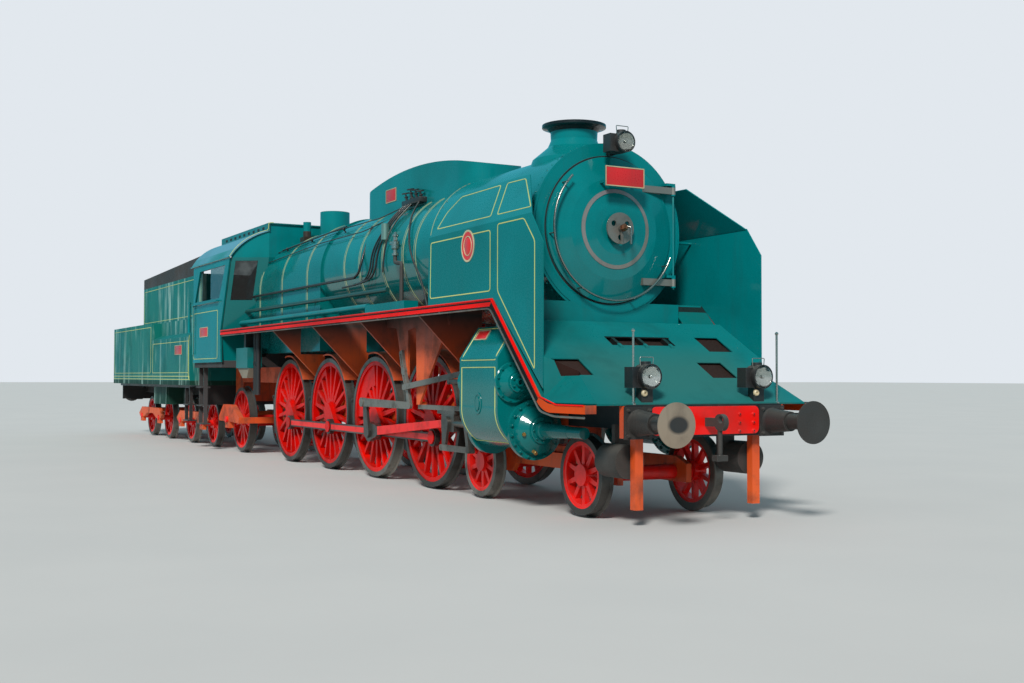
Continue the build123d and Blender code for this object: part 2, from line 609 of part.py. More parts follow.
def boiler_mountings():
    """Round cover, safety valves, feed clack valves and the boxes on the running boards."""
    crown = up(BOILER_HEIGHT) + FIREBOX_HALF - FIREBOX_REAR_DROP
    cover = rod_z(MANHOLE_RADIUS, MANHOLE_X, 0, crown - 120, up(MANHOLE_TOP))
    base = block(VALVES_X - 120, VALVES_X + 120, -VALVE_Y - 100, VALVE_Y + 100, crown - 160, crown + 90)
    valves = [rod_z(VALVE_RADIUS, VALVES_X, y, crown - 120, up(VALVE_TOP)) for y in (-VALVE_Y, VALVE_Y)]
    solids = [cover, fuse([base] + valves)]
    cutter = firebox_cutter()
    solids = [solid for piece in solids for solid in (piece - cutter).solids()]
    y, z = polar(BOILER_RADIUS + 60, 180 - CLACK_ANGLE)
    clack = rod_z(62, CLACK_X, y, up(BOILER_HEIGHT) + z - 110, up(BOILER_HEIGHT) + z + 130) \
        + rod_y(45, CLACK_X, y, y + 200, up(BOILER_HEIGHT) + z)
    clack = clack - rod_x(BOILER_RADIUS + SEAT, CLACK_X - 200, CLACK_X + 200, 0, up(BOILER_HEIGHT))
    box = block(BOX_REAR, BOX_FRONT, -BOARD_INNER - 230, -BOARD_INNER - 20, up(BOARD_TOP) + SEAT,
                up(BOARD_TOP) + BOX_HEIGHT)
    return Compound(solids + [piece.solid() for piece in both_sides(clack) + both_sides(box)])


# Running boards with their sloping front ends, smoke deflectors and the apron
SLOPE_TOP_X = ahead(3110)
SLOPE_FOOT_X = ahead(4290)
BOARD_INNER = 1010
BOARD_THICKNESS = 12
FOOT_RADIUS = 350
PLATFORM_FRONT = BEAM_FRONT - 2
DEFLECTOR_THICKNESS = 12


def board_band(x_rear, depth):
    """Band of this depth below the board's line, in the XZ plane, with its curved foot."""
    slope = atan2(BOARD_TOP - PLATFORM_TOP, SLOPE_FOOT_X - SLOPE_TOP_X)
    reach = FOOT_RADIUS * sin(slope / 2) / cos(slope / 2)
    centre = (SLOPE_FOOT_X + reach, up(PLATFORM_TOP) + FOOT_RADIUS)
    shift = depth * (1 / cos(slope) - 1) / (sin(slope) / cos(slope))

    def on_foot(offset, turn):
        return centre[0] - (FOOT_RADIUS + offset) * sin(turn), centre[1] - (FOOT_RADIUS + offset) * cos(turn)

    upper = ThreePointArc(on_foot(0, slope), on_foot(0, slope / 2), on_foot(0, 0))
    lower = ThreePointArc(on_foot(depth, 0), on_foot(depth, slope / 2), on_foot(depth, slope))
    return make_face([
        Polyline((x_rear, up(BOARD_TOP)), (SLOPE_TOP_X, up(BOARD_TOP)), on_foot(0, slope)), upper,
        Polyline(on_foot(0, 0), (PLATFORM_FRONT, up(PLATFORM_TOP)), (PLATFORM_FRONT, up(PLATFORM_TOP) - depth),
                 on_foot(depth, 0)), lower,
        Polyline(on_foot(depth, slope), (SLOPE_TOP_X - shift, up(BOARD_TOP) - depth),
                 (x_rear, up(BOARD_TOP) - depth), (x_rear, up(BOARD_TOP)))])


def running_board():
    """Right running board: its tread and the deep edge strip."""
    rear = CAB_CORNER_LOW + SEAT
    tread = side_plate(board_band(rear, BOARD_THICKNESS), -HALF_WIDTH + 10, -BOARD_INNER)
    edge = side_plate(board_band(rear, BOARD_EDGE), -HALF_WIDTH, -HALF_WIDTH + 12)
    return tread + edge


def deflector():
    """Right smoke deflector: upright panel, the panel that leans in above the fold, and its stays."""
    rear, front = DEFLECTOR_REAR, DEFLECTOR_FRONT
    y_out = -HALF_WIDTH + 12 + SEAT + DEFLECTOR_THICKNESS
    upright = outline(
        (rear, up(BOARD_TOP) + SEAT), (SLOPE_TOP_X + 2, up(BOARD_TOP) + SEAT), (front, up(DEFLECTOR_FOOT)),
        (front, up(2960)), (front - 260, up(DEFLECTOR_FOLD + 20)), (rear + 20, up(DEFLECTOR_FOLD)))
    panel = side_plate(upright, y_out - DEFLECTOR_THICKNESS, y_out)
    lean = outline((rear + 20, 0), (front - 260, 20), (front - 950, 680), (front - 1450, 690), (rear + 200, 660),
                   (rear + 40, 380))
    tilt = Plane(origin=(0, y_out - DEFLECTOR_THICKNESS, up(DEFLECTOR_FOLD)), x_dir=(1, 0, 0),
                 z_dir=(0, -cos(radians(LEAN_ANGLE)), sin(radians(LEAN_ANGLE))))
    pieces = [panel, extrude(tilt * lean, amount=DEFLECTOR_THICKNESS, dir=-tilt.z_dir)]
    for x in STAY_X:
        pieces.append(rod_y(STAY_RADIUS, x, y_out - DEFLECTOR_THICKNESS, -SMOKEBOX_RADIUS + 80, up(STAY_HEIGHT)))
    stays = fuse(pieces)
    return stays - rod_x(SMOKEBOX_RADIUS + SEAT, rear, front, 0, up(BOILER_HEIGHT))


LEAN_ANGLE = 34
DEFLECTOR_REAR = ahead(1350)
DEFLECTOR_FRONT = ahead(4250)
DEFLECTOR_FOLD = 3280
DEFLECTOR_FOOT = PLATFORM_TOP + 160
STAY_X = [ahead(1700), ahead(2900)]
STAY_RADIUS = 18
STAY_HEIGHT = DEFLECTOR_FOLD - 60
STEP_X = (ahead(3800), ahead(3990))
STEP_HALF = 430
STEP_RIBS = (-350, 0, 350)
APRON_SLOTS = ((4430, -1235), (4480, 640), (3940, 1010))
SLOT_LENGTH = 320
SLOT_WIDTH = 345
APRON_THICKNESS = 12
APRON_TOP_X = ahead(3480)
APRON_TOP = BOILER_HEIGHT - 1100
APRON_FOOT = PLATFORM_TOP + APRON_THICKNESS + SEAT
APRON_SIDE = HALF_WIDTH - 12 - SEAT - DEFLECTOR_THICKNESS - SEAT
APRON_BEND_X = ahead(4250)
APRON_VALLEY = (ahead(4430), -1200)
APRON_VALLEY_FRONT = -1360
RISER_X = (SMOKEBOX_FRONT + 5, SMOKEBOX_FRONT + 5 + APRON_THICKNESS)
RISER_TOP = BOARD_TOP - 10


def apron_height(x):
    """Height of the apron's upper face at x."""
    slope = (APRON_TOP - APRON_FOOT) / (PLATFORM_FRONT - APRON_TOP_X)
    return up(APRON_TOP) - slope * (x - APRON_TOP_X)


def apron():
    """Sloping plate from the smokebox to the front beam: its flared sides, slots, step and riser."""

    def on_slope(x, y):
        return x, y, apron_height(x)

    side = -APRON_SIDE
    bend = on_slope(APRON_BEND_X, side)
    valley = on_slope(*APRON_VALLEY)
    front = (PLATFORM_FRONT, APRON_VALLEY_FRONT, up(APRON_FOOT))
    corner = (PLATFORM_FRONT, side, up(APRON_FOOT))
    at_bend, at_turn, at_foot = [(ahead(x), side, up(z)) for x, z in SIDE_EDGE]
    half = [on_slope(APRON_TOP_X, side), bend, valley, front]
    pieces = [thick_facet(half + [(x, -y, z) for x, y, z in reversed(half)], (0, 0, -APRON_THICKNESS))]
    for facet in ([bend, at_bend, valley], [at_bend, at_turn, valley], [at_turn, at_foot, valley],
                  [valley, at_foot, front], [at_foot, corner, front]):
        pieces += both_sides(thick_facet(facet, WING_SHIFT))
    plate = fuse(pieces)
    for distance, y in APRON_SLOTS:
        x = ahead(distance)
        plate = plate - block(x - SLOT_LENGTH / 2, x + SLOT_LENGTH / 2, y - SLOT_WIDTH / 2, y + SLOT_WIDTH / 2,
                              up(PLATFORM_TOP), up(APRON_TOP))
    plate = plate - block(*STEP_X, -STEP_HALF, STEP_HALF, up(PLATFORM_TOP), up(APRON_TOP))
    return fuse([plate, riser()] + apron_step())


def riser():
    """Upright plate under the smokebox front and the shelf from its foot to the sloping plate."""
    screen = block(*RISER_X, -RISER_HALF, RISER_HALF, up(APRON_TOP) - APRON_THICKNESS, up(RISER_TOP)) \
        - rod_x(SMOKEBOX_RADIUS - 10, SMOKEBOX_FRONT, SMOKEBOX_FRONT + 50, 0, up(BOILER_HEIGHT))
    shelf = block(RISER_X[0], APRON_TOP_X + APRON_THICKNESS, -RISER_HALF, RISER_HALF,
                  up(APRON_TOP) - APRON_THICKNESS, up(APRON_TOP))
    return screen + shelf


def apron_step():
    """Tread and ribs in the opening of the sloping plate."""
    rear = STEP_X[0]
    nose = STEP_X[1] + 60
    tread = block(rear - 60, rear + 60, -STEP_HALF, STEP_HALF, apron_height(rear) - 22, apron_height(rear) - 8)
    rib = outline((rear - 10, apron_height(rear) - 20), (rear + 60, apron_height(rear) - 20),
                  (nose, apron_height(nose) + 25), (nose, apron_height(nose) - 8), (rear - 10, apron_height(rear) - 60))
    return [tread] + [side_plate(rib, y - 20, y + 20) for y in STEP_RIBS]


RISER_HALF = 1005
WING_SHIFT = (-6, 6, -8)
SIDE_EDGE = (
    # distance ahead, height above the rails
    (4250, 1307),
    (4320, 1273.5),
    (4435, APRON_FOOT),
)


def thick_facet(corners, shift):
    """Flat facet given a thickness along a shift."""
    face = make_face(Polyline(*corners, close=True))
    along = Vector(*shift)
    return extrude(face, amount=along.length, dir=along.normalized())


# Cylinders, slide bars, rods and valve gear, the same on both sides
def cylinder():
    """Right cylinder block with its covers, valve chest and tail rod sleeve."""
    z = up(CYLINDER_HEIGHT)
    y = -CYLINDER_Y
    outer, inner = -HALF_WIDTH + 45, -FRAME_OUTER - SEAT
    low = up(700)
    section = make_face([Polyline((outer, up(1180)), (outer, up(1740)), (outer + 250, up(2120)), (inner, up(2120)),
                                  (inner, up(1240)), (y + 250, low + 60)),
                         ThreePointArc((y + 250, low + 60), (y - 120, low), (outer, up(1180)))])
    body = cross_plate(section, CYLINDER_REAR, CYLINDER_FRONT)
    covers = [rod_x(350, CYLINDER_FRONT, CYLINDER_FRONT + 60, y, z),
              spun_x([(CYLINDER_FRONT + 60, 0), (CYLINDER_FRONT + 60, 290), (CYLINDER_FRONT + 130, 270),
                      (CYLINDER_FRONT + 210, 170), (CYLINDER_FRONT + 230, 0)], y, z),
              rod_x(65, CYLINDER_FRONT + 200, ahead(4290), y, z),
              rod_x(330, CYLINDER_REAR - 70, CYLINDER_REAR, y, z),
              spun_x([(CYLINDER_REAR - 60, 0), (CYLINDER_REAR - 60, CHEST_RADIUS), (CYLINDER_FRONT + 50, CHEST_RADIUS),
                      (CYLINDER_FRONT + 140, CHEST_RADIUS - 60), (CYLINDER_FRONT + 150, 0)], -CHEST_Y, up(CHEST_HEIGHT)),
              rod_z(110, CHIMNEY_X, -STEAM_PIPE_Y, up(2050), up(BOILER_HEIGHT) - 300)]
    bore = rod_x(PISTON_ROD_RADIUS + JOURNAL_GAP, CYLINDER_REAR - 80, CYLINDER_REAR + 50, y, z)
    steam = rod_x(SMOKEBOX_RADIUS + SEAT, CYLINDER_REAR - 200, CYLINDER_FRONT + 200, 0, up(BOILER_HEIGHT))
    return fuse([body] + covers) - bore - steam


CHEST_HEIGHT = 1460
CHEST_Y = 1270
CHEST_RADIUS = 185
STEAM_PIPE_Y = 870
PISTON_ROD_RADIUS = 45
MAIN_ROD_LENGTH = 2700
SLIDE_BAR_REAR = ahead(50)
SLIDE_BAR_BOTTOM = 1080
SLIDE_BAR_TOP = 1140


def crosshead_x(side):
    """Place of the crosshead pin with the cranks at rest."""
    px, pz = polar(CRANK_RADIUS, crank_angle(side))
    return DRIVER_X[MAIN_DRIVER] + px + sqrt(MAIN_ROD_LENGTH ** 2 - pz ** 2)


def slide_bars():
    """One slide bar each side, above the crosshead."""
    bar = block(SLIDE_BAR_REAR, CYLINDER_REAR - 70 - SEAT, -CYLINDER_Y - 40, -CYLINDER_Y + 40, up(SLIDE_BAR_BOTTOM),
                up(SLIDE_BAR_TOP))
    return Compound(both_sides(bar))


def main_rod(side):
    """Piston rod, crosshead, connecting rod and return crank, the big end at the opened crank pin."""
    z = up(CYLINDER_HEIGHT)
    y = side * CYLINDER_Y
    head_x = crosshead_x(side)
    px, pz = polar(CRANK_RADIUS, crank_angle(side))
    big = (DRIVER_X[MAIN_DRIVER] + px, DRIVER_Z + pz)
    small = (head_x, z)
    length = hypot(small[0] - big[0], small[1] - big[1])
    ux, uz = (small[0] - big[0]) / length, (small[1] - big[1]) / length
    bar = outline((big[0] - 65 * uz, big[1] + 65 * ux), (small[0] - 48 * uz, small[1] + 48 * ux),
                  (small[0] + 48 * uz, small[1] - 48 * ux), (big[0] + 65 * uz, big[1] - 65 * ux))
    shape = bar + Pos(*big) * Circle(150) + Pos(*small) * Circle(95)
    strap = strap_shape(big, (big[0] + 230 * ux, big[1] + 230 * uz), 130, 95)
    rod = side_plate(shape + strap, *layer(side, MAIN_ROD_INNER, MAIN_ROD_OUTER))
    pin = rod_y(CRANK_PIN_RADIUS, big[0], *layer(side, MAIN_ROD_INNER - ROD_GAP, RETURN_CRANK_OUTER), big[1])
    crosshead = block(head_x - 130, head_x + 240, y - 40, y + 40, z - 110, up(SLIDE_BAR_BOTTOM) - SEAT)
    slipper = block(head_x - 260, head_x + 260, y - 40, y + 40, up(SLIDE_BAR_BOTTOM) - 45, up(SLIDE_BAR_BOTTOM) - SEAT)
    arm = side_plate(strap_shape((head_x + 40, z), (head_x, up(UNION_HEIGHT)), 90, 42),
                     *layer(side, CYLINDER_Y + 38, ECCENTRIC_INNER))
    piston = rod_x(PISTON_ROD_RADIUS, head_x + 200, CYLINDER_REAR + 40, y, z)
    return fuse([rod, pin, crosshead, slipper, arm, piston, return_crank(side, big)])


RETURN_CRANK_OUTER = MAIN_ROD_OUTER + 40
ECCENTRIC_THROW = 290
ECCENTRIC_LEAD = 90
ECCENTRIC_INNER = GIRDER_OUTER + SEAT
ECCENTRIC_OUTER = ECCENTRIC_INNER + 42
RADIUS_ROD_OUTER = ECCENTRIC_OUTER + 45
LINK_PIVOT_X = ahead(-300)
LINK_PIVOT_HEIGHT = 1600
LINK_FOOT = 515
LINK_ARC = 1900
LINK_HALF_ANGLE = 9
LINK_HALF_WIDTH = 48
LINK_SLOT = 18
DIE_ANGLE = 7.5
LEVER_X = ahead(1560)
LEVER_TOP = CHEST_HEIGHT + 95
UNION_HEIGHT = 600
UNION_LENGTH = 885


def eccentric_pin(side):
    """Centre of the return crank's pin, a quarter turn from the main crank."""
    x, z = polar(ECCENTRIC_THROW, crank_angle(side) + ECCENTRIC_LEAD)
    return DRIVER_X[MAIN_DRIVER] + x, DRIVER_Z + z


def return_crank(side, big):
    shape = strap_shape(big, eccentric_pin(side), 92, 62)
    return side_plate(shape, *layer(side, MAIN_ROD_OUTER, RETURN_CRANK_OUTER))


def arc_bar(radius, half_width, half_angle):
    """Curved bar about a centre ahead of the origin, its middle at the origin."""
    ring = Circle(radius + half_width) - Circle(radius - half_width)
    wedge = outline((0, 0), polar(-2 * radius, half_angle), polar(-2 * radius, -half_angle))
    return Pos(radius, 0) * (ring & wedge)


def valve_gear(side):
    """Eccentric rod, slotted link, radius rod, combination lever, union link and valve spindle."""
    pivot = (LINK_PIVOT_X, up(LINK_PIVOT_HEIGHT))
    pin = eccentric_pin(side)
    rod_length = hypot(pivot[0] - DRIVER_X[MAIN_DRIVER], pivot[1] - LINK_FOOT - DRIVER_Z)
    foot = lower_meeting(pin, rod_length, pivot, LINK_FOOT)
    swing = degrees(atan2(foot[0] - pivot[0], pivot[1] - foot[1]))
    link = arc_bar(LINK_ARC, LINK_HALF_WIDTH, LINK_HALF_ANGLE) - arc_bar(LINK_ARC, LINK_SLOT, LINK_HALF_ANGLE - 1.2)
    low = LINK_ARC * sin(radians(LINK_HALF_ANGLE))
    link = link + Circle(60) + strap_shape((LINK_ARC * (1 - cos(radians(LINK_HALF_ANGLE))), 20 - low), (0, -LINK_FOOT), 40, 45)
    link = Pos(*pivot) * Rot(0, 0, swing) * link
    turn = radians(swing)
    die_x = LINK_ARC * (1 - cos(radians(DIE_ANGLE)))
    die_z = -LINK_ARC * sin(radians(DIE_ANGLE))
    die = (pivot[0] + die_x * cos(turn) - die_z * sin(turn), pivot[1] + die_x * sin(turn) + die_z * cos(turn))
    top = (LEVER_X, up(LEVER_TOP))
    valve_pin = (LEVER_X, up(CHEST_HEIGHT))
    low_pin = (crosshead_x(side) + UNION_LENGTH, up(UNION_HEIGHT))
    inner = layer(side, ECCENTRIC_INNER, ECCENTRIC_OUTER)
    outer = layer(side, ECCENTRIC_OUTER, RADIUS_ROD_OUTER)
    both = layer(side, ECCENTRIC_INNER, RADIUS_ROD_OUTER)
    solids = [
        side_plate(strap_shape(pin, foot, 62, 48), *inner),
        side_plate(strap_shape(pin, pin, 70, 69), *layer(side, ECCENTRIC_INNER, ECCENTRIC_OUTER + 14)),
        side_plate(link, *inner),
        side_plate(strap_shape(die, top, 40, 34), *outer),
        rod_y(LINK_SLOT + 4, die[0], *both, die[1]),
        side_plate(strap_shape(top, low_pin, 36, 34), *both),
        side_plate(strap_shape((crosshead_x(side), up(UNION_HEIGHT)), low_pin, 40, 36), *inner),
        rod_y(34, valve_pin[0], *layer(side, ECCENTRIC_OUTER, CHEST_Y + 34), valve_pin[1]),
        rod_x(30, valve_pin[0], CYLINDER_REAR - 60 - SEAT, side * CHEST_Y, valve_pin[1]),
        rod_x(58, CYLINDER_REAR - 300, CYLINDER_REAR - 60 - SEAT, side * CHEST_Y, valve_pin[1]),
    ]
    return fuse(solids)


# Brake gear: one block behind each driving wheel, hung from the frames
BRAKE_GAP = 9
BRAKE_DEPTH = 50
BRAKE_ANGLES = (194, 216)
BRAKE_PIN_RISE = 225
BRAKE_INNER = TYRE_FACE - 90
BRAKE_OUTER = TYRE_FACE - 20


def brake_hanger(axle_x):
    """Right brake block of a driving axle with its hanger and its pin on the frame."""
    inner_radius = DRIVER_DIAMETER / 2 + BRAKE_GAP
    outer_radius = inner_radius + BRAKE_DEPTH
    sector = outline((0, 0), polar(2 * outer_radius, BRAKE_ANGLES[0]), polar(2 * outer_radius, BRAKE_ANGLES[1]))
    shoe = (Circle(outer_radius) - Circle(inner_radius)) & sector
    pin = (-DRIVER_SPACING / 2, BRAKE_PIN_RISE)
    low = polar(outer_radius + 25, sum(BRAKE_ANGLES) / 2)
    hanger = strap_shape(low, pin, 45, 34)
    plate = side_plate(shoe + hanger, -BRAKE_OUTER, -BRAKE_INNER, axle_x, DRIVER_Z)
    return plate + rod_y(28, axle_x + pin[0], -BRAKE_OUTER - 12, -FRAME_OUTER - SEAT, DRIVER_Z + pin[1])


def brake_gear():
    solids = []
    for x in DRIVER_X:
        solids += both_sides(brake_hanger(x))
    return Compound(solids)


# Cab
CAB_FLOOR = 1800
GUTTER = 3800
ROOF_SHOULDER = 4300
RIDGE_HALF = 850
RIDGE_TOP = 4440
WINDOW_BOTTOM = 3060
WINDOW_TOP = 3680
WINDOW_REAR = (ahead(-10270), ahead(-9890))
WINDOW_FRONT = (ahead(-8400), ahead(-7980))
LEDGE_DEPTH = 60
FRONT_WINDOW_Y = (1020, 1390)
FRONT_WINDOW_Z = (3000, 3740)
ROOF_THICKNESS = 20
ROOF_OVERHANG = 150


def cab_side():
    """Right side sheet with its window opening and the arm rest below it."""
    sheet = outline((CAB_REAR, up(CAB_FLOOR)), (CAB_CORNER_LOW + 50, up(CAB_FLOOR)), (CAB_CORNER_LOW, up(BOARD_TOP - 100)),
                    (CAB_CORNER_LOW, up(BOARD_TOP) + SEAT), (CAB_CORNER_TOP, up(GUTTER)), (CAB_REAR, up(GUTTER)))
    window = outline((WINDOW_REAR[0], up(WINDOW_BOTTOM)), (WINDOW_FRONT[0], up(WINDOW_BOTTOM)),
                     (WINDOW_FRONT[1], up(WINDOW_TOP)), (WINDOW_REAR[1], up(WINDOW_TOP)))
    ledge = block(WINDOW_REAR[0], WINDOW_FRONT[0], -HALF_WIDTH - LEDGE_DEPTH, -HALF_WIDTH + 1, up(WINDOW_BOTTOM - 70),
                  up(WINDOW_BOTTOM - 40))
    return side_plate(sheet - window, -HALF_WIDTH, -HALF_WIDTH + CAB_WALL) + ledge


def cab_space(shift, bottom, inset):
    """Leaning space behind the V-shaped front, its face moved forward by a shift and its sides out."""
    half = HALF_WIDTH - CAB_WALL - SEAT
    wide = half + inset
    back = inset * CAB_V_DEPTH / (half - RIDGE_HALF)

    def plan(corner):
        return outline((CAB_REAR, -wide), (corner - back, -wide), (corner + CAB_V_DEPTH, -RIDGE_HALF),
                       (corner + CAB_V_DEPTH, RIDGE_HALF), (corner - back, wide), (CAB_REAR, wide))

    lean = Vector(CAB_CORNER_TOP - CAB_CORNER_LOW, 0, GUTTER - BOARD_TOP)
    lower = extrude(Pos(0, 0, bottom) * plan(CAB_CORNER_LOW + shift), amount=lean.length, dir=lean.normalized())
    upper = flat_plate(plan(CAB_CORNER_TOP + shift), bottom + GUTTER - BOARD_TOP, up(RIDGE_TOP + 200))
    return lower + upper


def cab_front():
    """Front wall, a blunt V in plan that leans forward, open round the firebox and at its windows."""
    bottom = up(BOARD_TOP) + SEAT
    wall = cab_space(0, bottom, 0) - cab_space(-CAB_WALL, bottom, CAB_WALL)
    wall = wall & roof_body(-SEAT)
    inner = HALF_WIDTH - CAB_WALL - SEAT
    apron_wall = block(CAB_CORNER_LOW - CAB_WALL, CAB_CORNER_LOW, -inner, inner, up(CAB_FLOOR + 30) + SEAT, bottom + 20)
    wall = (wall + apron_wall) - firebox_cutter()
    for opening in both_sides(front_window(0)):
        wall = wall - opening
    return wall


def front_window(clearance):
    """Opening of the right front window, made smaller all round by a clearance."""
    return block(CAB_CORNER_LOW - 200, CAB_CORNER_TOP + CAB_V_DEPTH, -FRONT_WINDOW_Y[1] + clearance,
                 -FRONT_WINDOW_Y[0] - clearance, up(FRONT_WINDOW_Z[0]) + clearance, up(FRONT_WINDOW_Z[1]) - clearance)


def firebox_cutter():
    """Firebox cladding with a seat's clearance all round."""
    front = firebox_section(FIREBOX_FRONT, FIREBOX_HALF + SEAT, 0, up(FIREBOX_BOTTOM) - SEAT)
    rear = firebox_section(FIREBOX_REAR, FIREBOX_HALF + SEAT, FIREBOX_REAR_DROP, up(FIREBOX_BOTTOM) - SEAT)
    return loft([rear, front], ruled=True)


def roof_outline(offset):
    """Half-round roof section with its raised ventilator, moved out by an offset."""
    shoulder = up(ROOF_SHOULDER) + offset
    ridge = RIDGE_HALF + offset
    return make_face([
        Polyline((-HALF_WIDTH - offset, up(GUTTER)), (-HALF_WIDTH - offset, up(1000)), (HALF_WIDTH + offset, up(1000)),
                 (HALF_WIDTH + offset, up(GUTTER))),
        ThreePointArc((HALF_WIDTH + offset, up(GUTTER)), (1240 + offset, up(4110) + offset), (ridge, shoulder)),
        Polyline((ridge, shoulder), (ridge, up(RIDGE_TOP) + offset), (-ridge, up(RIDGE_TOP) + offset),
                 (-ridge, shoulder)),
        ThreePointArc((-ridge, shoulder), (-1240 - offset, up(4110) + offset), (-HALF_WIDTH - offset, up(GUTTER))),
    ])


def roof_body(offset):
    return cross_plate(roof_outline(offset), CAB_REAR - 200, CAB_CORNER_TOP + CAB_V_DEPTH + 100)


def cab_roof():
    """Arched roof with the raised ventilator, overhanging the walls."""
    rear, corner = CAB_REAR - ROOF_OVERHANG, CAB_CORNER_TOP + 40
    wide = 2 * HALF_WIDTH
    plan = outline((rear, -wide), (corner, -wide), (corner, -HALF_WIDTH), (corner + CAB_V_DEPTH, -RIDGE_HALF),
                   (corner + CAB_V_DEPTH, RIDGE_HALF), (corner, HALF_WIDTH), (corner, wide), (rear, wide))
    space = flat_plate(plan, up(GUTTER) + SEAT, up(RIDGE_TOP + 300))
    return (roof_body(ROOF_THICKNESS) - roof_body(0)) & space


def cab_floor():
    """Cab floor and the two flights of steps below it."""
    floor = block(CAB_REAR, CAB_CORNER_LOW - SEAT, -HALF_WIDTH + CAB_WALL + SEAT, HALF_WIDTH - CAB_WALL - SEAT,
                  up(REAR_FRAME_TOP) + SEAT, up(CAB_FLOOR + 30))
    floor = floor - firebox_cutter()
    hanger = block(CAB_REAR + 60, CAB_REAR + 90, -1380, -1300, up(520), up(REAR_FRAME_TOP) + 1)
    hanger2 = block(CAB_REAR + 420, CAB_REAR + 450, -1380, -1300, up(520), up(REAR_FRAME_TOP) + 1)
    treads = [block(CAB_REAR + 60, CAB_REAR + 450, -1440, -1240, up(z), up(z + 25)) for z in (520, 900, 1280)]
    flight = fuse([hanger, hanger2] + treads)
    return fuse([floor] + both_sides(flight))


def cab_glass():
    """Panes in the front windows and in the forward half of the side windows."""
    pane_x = ahead(-9100)
    pane = outline((pane_x, up(WINDOW_BOTTOM) + SEAT), (WINDOW_FRONT[0] - SEAT, up(WINDOW_BOTTOM) + SEAT),
                   (WINDOW_FRONT[1] - 2 * SEAT, up(WINDOW_TOP) - SEAT), (pane_x, up(WINDOW_TOP) - SEAT))
    side_pane = side_plate(pane, -HALF_WIDTH + 16, -HALF_WIDTH + 22)
    bottom = up(BOARD_TOP) + SEAT
    sheet = cab_space(-16, bottom, 0) - cab_space(-24, bottom, CAB_WALL)
    front_pane = sheet & front_window(SEAT)
    return Compound([pane.solid() for pane in both_sides(side_pane) + both_sides(front_pane)])


ASHPAN_REAR = ahead(-7790)


def ashpan():
    """Ashpan hopper under the firebox, between the frames."""
    top = up(FIREBOX_BOTTOM) - 2 * SEAT
    x0, x1 = ASHPAN_REAR, DRIVER_X[-1] - DRIVER_DIAMETER / 2 - FLANGE_HEIGHT - 60
    shelf = up(REAR_FRAME_TOP) + SEAT
    half = FRAME_INNER - 20
    section = outline((-FIREBOX_HALF, top), (FIREBOX_HALF, top), (FIREBOX_HALF, top - 60), (700, shelf),
                      (half, shelf), (half, up(REAR_FRAME_BOTTOM + 30)), (-half, up(REAR_FRAME_BOTTOM + 30)),
                      (-half, shelf), (-700, shelf), (-FIREBOX_HALF, top - 60))
    return cross_plate(section, x0, x1)


TANK_DRUM_X = (ahead(4470), ahead(4870))
TANK_DRUM_Y = 800
TANK_DRUM_RADIUS = 180
TANK_DRUM_HEIGHT = 640


def air_tanks():
    """Two reservoirs below the front beam, each hung from a tray between and beside the frames."""
    solids = []
    for side in (-1, 1):
        y = side * TANK_DRUM_Y
        drum = rod_x(TANK_DRUM_RADIUS, *TANK_DRUM_X, y, up(TANK_DRUM_HEIGHT))
        hanger = block(TANK_DRUM_X[0] + 60, TANK_DRUM_X[0] + 120, *sorted((side * (FRAME_OUTER + SEAT), y)),
                       up(TANK_DRUM_HEIGHT), up(FRAME_BOTTOM_OVER_BOGIE + 60))
        solids.append(drum + hanger)
    return Compound(solids)


# Bogies and trucks
def leading_bogie():
    """Inside-framed bogie with a bored centre casting."""
    top, bottom = up(620), up(330)
    reach = LEADING_WHEELBASE / 2 + 260
    side = outline((-reach, top - 80), (-reach + 200, top), (reach - 200, top), (reach, top - 80), (reach, bottom),
                   (reach - 520, bottom), (reach - 620, bottom + 110), (-reach + 620, bottom + 110),
                   (-reach + 520, bottom), (-reach, bottom))
    for x in (-LEADING_WHEELBASE / 2, LEADING_WHEELBASE / 2):
        side = side - Pos(x, LEADING_Z) * Circle(CARRYING_AXLE_RADIUS + JOURNAL_GAP)
    plate = side_plate(side, -500, -430, LEADING_BOGIE_X)
    centre = block(LEADING_BOGIE_X - 260, LEADING_BOGIE_X + 260, -430, 430, bottom + 130, up(BOGIE_PLATE_TOP))
    centre = centre - rod_z(PIVOT_RADIUS + JOURNAL_GAP, LEADING_BOGIE_X, 0, bottom, up(BOGIE_PLATE_TOP) + 10)
    return fuse(both_sides(plate) + [centre])


def trailing_truck():
    """Outside-framed truck on a radius arm."""
    z = TRAILING_Z
    y0, y1 = -1110, -1010
    beam = outline((TRAILING_X - 620, z + 60), (TRAILING_X - 300, z + 300), (TRAILING_X + 300, z + 300),
                   (TRAILING_X + 820, z + 60), (TRAILING_X + 820, z - 60), (TRAILING_X + 200, z - 40),
                   (TRAILING_X - 200, z - 40), (TRAILING_X - 620, z - 40))
    boxed = beam + Pos(TRAILING_X, z) * Rectangle(300, 340)
    journal = CARRYING_AXLE_RADIUS * 0.75
    boxed = boxed - Pos(TRAILING_X, z) * Circle(journal + JOURNAL_GAP)
    plate = side_plate(boxed, y0, y1)
    cross = block(TRAILING_X + 730, TRAILING_X + 820, -1060, 1060, z - 60, z + 60)
    arm = flat_plate(outline((TRAILING_X + 740, -420), (TRUCK_PIVOT_X, -110), (TRUCK_PIVOT_X, 110),
                             (TRAILING_X + 740, 420)) + Pos(TRUCK_PIVOT_X, 0) * Circle(110),
                     up(TRUCK_ARM_HEIGHT - 50), up(TRUCK_ARM_HEIGHT))
    arm = arm - rod_z(TRUCK_PIN_RADIUS + JOURNAL_GAP, TRUCK_PIVOT_X, 0, up(TRUCK_ARM_HEIGHT - 100),
                      up(TRUCK_ARM_HEIGHT + 50))
    return fuse(both_sides(plate) + [cross, arm])


BOLSTER_TOP = 225


